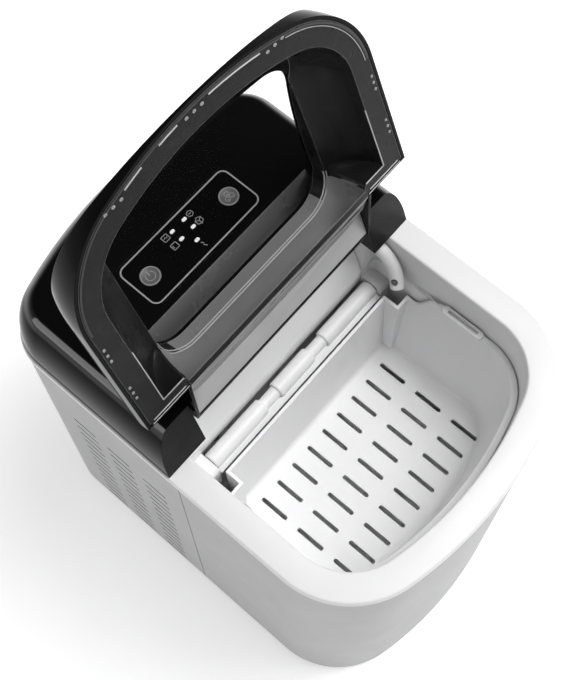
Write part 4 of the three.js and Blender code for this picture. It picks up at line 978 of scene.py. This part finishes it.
# the basket's side profile: low at the rear, then one smooth step up to the front
rim = [(-200, 100), (40, 100), (40, BASKET_LOW), (-29, BASKET_LOW)]
for t in np.linspace(0, 1, 16)[1:]:
    b0, b1, b2, b3 = (1 - t) ** 3, 3 * t * (1 - t) ** 2, 3 * t * t * (1 - t), t ** 3
    rim.append((-29 * b0 - 37 * b1 - 36 * b2 - 45 * b3, BASKET_LOW * (b0 + b1) + BASKET_HIGH * (b2 + b3)))
rim.append((-200, BASKET_HIGH))
basket = cut(basket_space("_o", 0.0, BASKET_FLOOR, 6.0), notches("_o", 0.0))
cut(basket, cut(basket_space("_i", BASKET_WALL, BASKET_FLOOR + BASKET_WALL, 4.0), notches("_i", BASKET_WALL)))
keep(basket, prism_x("rim", rim, -135, 135))
flange = cut(slab("basket_flange", plan(CASE, 20.4, -46.0, 4.0), BASKET_HIGH - 2.2, BASKET_HIGH),
             slab("basket_flange_in", plan(CASE, BASKET_INSET + 1, 0.0, 4.0), 200, 260))
join(basket, flange)
grip = cut(slab("grip", rounded_rect(87.5, 93.5, -83, -51, 2.6, 8), BASKET_HIGH - 2.2, BASKET_HIGH + 3.5),
           slab("grip_way", rounded_rect(89.3, 91.7, -79, -55, 1.1, 6), BASKET_HIGH - 0.5, 260))
join(basket, cut(grip, basket_space("_g", BASKET_WALL, 200.0, 0.0)))
drains = []
for col in range(-4, 5):
    for y in (-102, -70, -38):
        hole = rounded_rect(col * 16 - 1.5, col * 16 + 1.5, y - 11, y + 11, 1.4, 5)
        drains.append(slab("drain", hole, 140, 165))
cut(basket, merge("drains", drains))
basket.name = "basket_body"
finish(basket, "basket", white_inner, ["ice_basket"])


# ---- freezing chamber ----
front_face = spline([(9, 238.5), (12, 250), (18, 264), (28, 277), (45.6, 285)], 10)
rear_face = spline([(45.6, 282.4), (29, 274.6), (20.2, 262.6), (14.4, 249.2), (11.4, 238.5)], 10)
sheet_side = np.vstack([[(9.6, 221.0)], front_face, rear_face, [(11.8, 221.0)]])
sheet = prism_x("chamber_front_sheet", sheet_side, -CHAMBER_HALF + 0.4, CHAMBER_HALF - 0.4)
finish(sheet, "housing", white_inner, ["evaporator_cover"])


def shovel_bar(name, x0, x1, r, ease):
    """A round bar on the shovel's axis, with eased ends."""
    quarter = np.linspace(0, PI / 2, 6)
    profile = [(0, x0), (r - ease, x0)]
    profile += [(r - ease + ease * math.sin(t), x0 + ease - ease * math.cos(t)) for t in quarter[1:]]
    profile += [(r - ease + ease * math.cos(t), x1 - ease + ease * math.sin(t)) for t in quarter]
    profile += [(0, x1)]
    return turned(name, profile, (0, SHOVEL_Y, SHOVEL_Z), "X", 48)


shovel = shovel_bar("shovel_body", -80, -30, SHOVEL_R, 1.2)
join(shovel, shovel_bar("core", -79.9, 79.9, SHOVEL_R - 1.6, 0.6),
     box("skirt", -80, 80, SHOVEL_Y - 9.4, SHOVEL_Y + 3.5, SHOVEL_Z - 4, SHOVEL_Z - 2))
join(shovel, shovel_bar("bar_b", -17, 16.5, SHOVEL_R, 1.2), shovel_bar("bar_c", 29.8, 80, SHOVEL_R, 1.2))
teeth = [slab("gap", rounded_rect(i * 16 - 2, i * 16 + 2, -10, 20, 1.8, 4), SHOVEL_Z - 40, SHOVEL_Z - 16)
         for i in range(-4, 5)]
blade = box("blade", -77, 77, SHOVEL_Y - 1.1, SHOVEL_Y + 1.1, SHOVEL_Z - 34, SHOVEL_Z - 3)
join(shovel, cut(blade, merge("teeth", teeth)))
join(shovel, shovel_bar("pin_a", -83.4, -79, 2.3, 0.4), shovel_bar("pin_b", 79, 83.4, 2.3, 0.4))
finish(shovel, "shovel", white_gloss, ["ice_shovel"])

arm_path = [(89, 4.4, 270), (89.4, -2, 266), (89.2, -9, 259), (87.2, -14.5, 251), (84.2, -18, 245)]
arm = tube("sensor_arm_tube", arm_path, 4.8, 32, 64)


def tip_stub(name, profile):
    """A small turned stub at the arm's tip, facing up and inwards."""
    ob = turned(name, profile, (0, 0, 0), "Z", 28)
    turn = Vector((0, 0, 1)).rotation_difference(Vector((-0.62, -0.2, 0.76))).to_matrix().to_4x4()
    ob.data.transform(Matrix.Translation(Vector((84.2, -15.6, 250.4)) * MM) @ turn)
    return ob


cut(arm, tip_stub("eye_way", [(0, -2.6), (2.4, -2.6), (2.4, 12.0), (0, 12.0)]))
finish(arm, "housing", white_gloss, ["ice_sensor_arm"])
eye = tip_stub("sensor_eye", [(0, -2.1), (1.9, -2.0), (2.0, -1.8), (2.0, 1.5), (1.7, 1.95), (0, 2.1)])
finish(eye, "housing", eye_grey, ["ice_sensor_window"])


# ---- drain cap, gland and feet ----
profile = [(0, 101.6), (7.4, 101.6), (8.0, 102.2)]
for k in range(4):
    x = 103.4 + 1.7 * k
    profile += [(8.0, x), (7.5, x + 0.4), (7.5, x + 0.7), (8.0, x + 1.1)]
profile += [(8.0, 110.8), (10.6, 110.8), (11.0, 111.2), (11.0, 112.4)]
quarter = np.linspace(0, PI / 2, 5)
profile += [(11.0 - 0.8 * (1 - math.cos(t)), 112.4 + 0.8 * math.sin(t)) for t in quarter[1:]]
profile += [(9.0, 113.2), (8.6, 112.9), (0, 112.9)]
cap = turned("drain_cap_body", profile, (0, DRAIN_Y, PORT_Z), "X", 64)
grip_bar = rounded_rect(DRAIN_Y - 8, DRAIN_Y + 8, PORT_Z - 1, PORT_Z + 1, 0.9, 5)
join(cap, loft("cap_grip", [np.c_[np.full(len(grip_bar), x), grip_bar] for x in (112.5, 113.75)]))
finish(cap, "drain_cap", case_white, ["drain_cap"])

gland = [(4.0, 130.0), (10.6, 130.0), (11.0, 130.4), (11.0, 138.1), (10.6, 138.5), (8.2, 138.5)]
for k in range(6):
    y = 140.5 + 2.5 * k
    gland += [(8.2, y), (7.2, y + 0.5), (7.2, y + 1.0), (8.2, y + 1.5)]
gland += [(7.9, 156.0), (4.0, 156.0)]
sleeve = turned("gland_sleeve", gland, (CORD_X, 0, PORT_Z), "Y", 48, True)
finish(sleeve, "housing", rubber, ["cord_gland"])

pad = [(0, 0.9), (5.2, 0.9), (6.0, 0.0), (9.8, 0.0), (10.7, 0.5), (11.0, 1.4), (10.4, 3.2),
       (9.6, 4.4), (9.5, 5.7), (0, 5.7)]
feet = {"front_left": (-78, -100), "front_right": (78, -100),
        "rear_left": (-84, 110), "rear_right": (84, 110)}
for label, (x, y) in feet.items():
    foot = turned("foot_pad_" + label, pad, (x, y, 0), "Z", 48)
    finish(foot, "housing", rubber, ["foot_" + label])


# ---- materials of the carried-over parts ----
looks = {
    "base_plate": satin_black, "tub_insulation": foam, "control_board": circuit, "power_board": circuit,
    "hinge_bush_left": nylon, "hinge_bush_right": nylon, "water_tray": white_gloss, "evaporator": aluminium,
    "evaporator_tube": copper, "tray_gear_motor": steel, "water_pump": satin_black, "fill_hose": nylon,
    "drain_hose": nylon, "drain_socket": satin_black, "compressor": enamel, "condenser": aluminium,
    "fan_shroud": satin_black, "fan_blade": satin_black, "fan_motor": steel, "filter_drier": copper,
    "hot_gas_valve": copper, "suction_pipe": copper, "discharge_pipe": copper,
    "lid_hinge_pin_left": steel, "lid_hinge_pin_right": steel,
}
for k in range(1, 5):
    looks["compressor_mount_%d" % k] = rubber
for name, material in looks.items():
    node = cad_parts[name]
    node.data.materials.clear()
    node.data.materials.append(material)


# ---- floor and light ----
floor_mat = moulded("floor", grey(0.88), grey(0.90), 0.75, 0.85, 30, 0.02, 0.0, cloud=1.2)
glow(floor_mat, 0.51)
floor = slab("floor", rounded_rect(-4000, 4000, -4000, 4000, 900, 12), -6.0, 0.0)
floor.data.materials.append(floor_mat)

world = bpy.data.worlds.new("studio")
scene.world = world
world.use_nodes = True
sky_nodes, sky_links = world.node_tree.nodes, world.node_tree.links
sky_way = sky_nodes.new("ShaderNodeTexCoord")
sky_split = sky_nodes.new("ShaderNodeSeparateXYZ")
sky_links.new(sky_way.outputs["Generated"], sky_split.inputs["Vector"])
sky = ramp(sky_nodes, sky_links, sky_split.outputs["Z"], grey(0.60), grey(0.13), 0.02, 0.34)
sky_links.new(sky, sky_nodes["Background"].inputs["Color"])
sky_nodes["Background"].inputs["Strength"].default_value = 1.0
scene.view_settings.view_transform = "Standard"
scene.view_settings.look = "None"


def area(name, size_x, size_y, location, target, energy):
    """A soft rectangular light, aimed at a target."""
    data = bpy.data.lights.new(name, "AREA")
    data.shape = "RECTANGLE"
    data.size, data.size_y = size_x, size_y
    data.energy = energy
    ob = bpy.data.objects.new(name, data)
    scene.collection.objects.link(ob)
    ob.location = location
    ob.rotation_euler = (Vector(target) - Vector(location)).to_track_quat("-Z", "Y").to_euler()


area("key", 1.2, 1.2, (0.6, -0.45, 2.3), (0, 0, 0.25), 36)
area("shoulder", 1.0, 1.6, (-1.78, 0.95, 1.2), (0, 0, 0.3), 8)
area("side", 0.9, 0.9, (1.5, -0.9, 1.2), (0, 0, 0.25), 14)
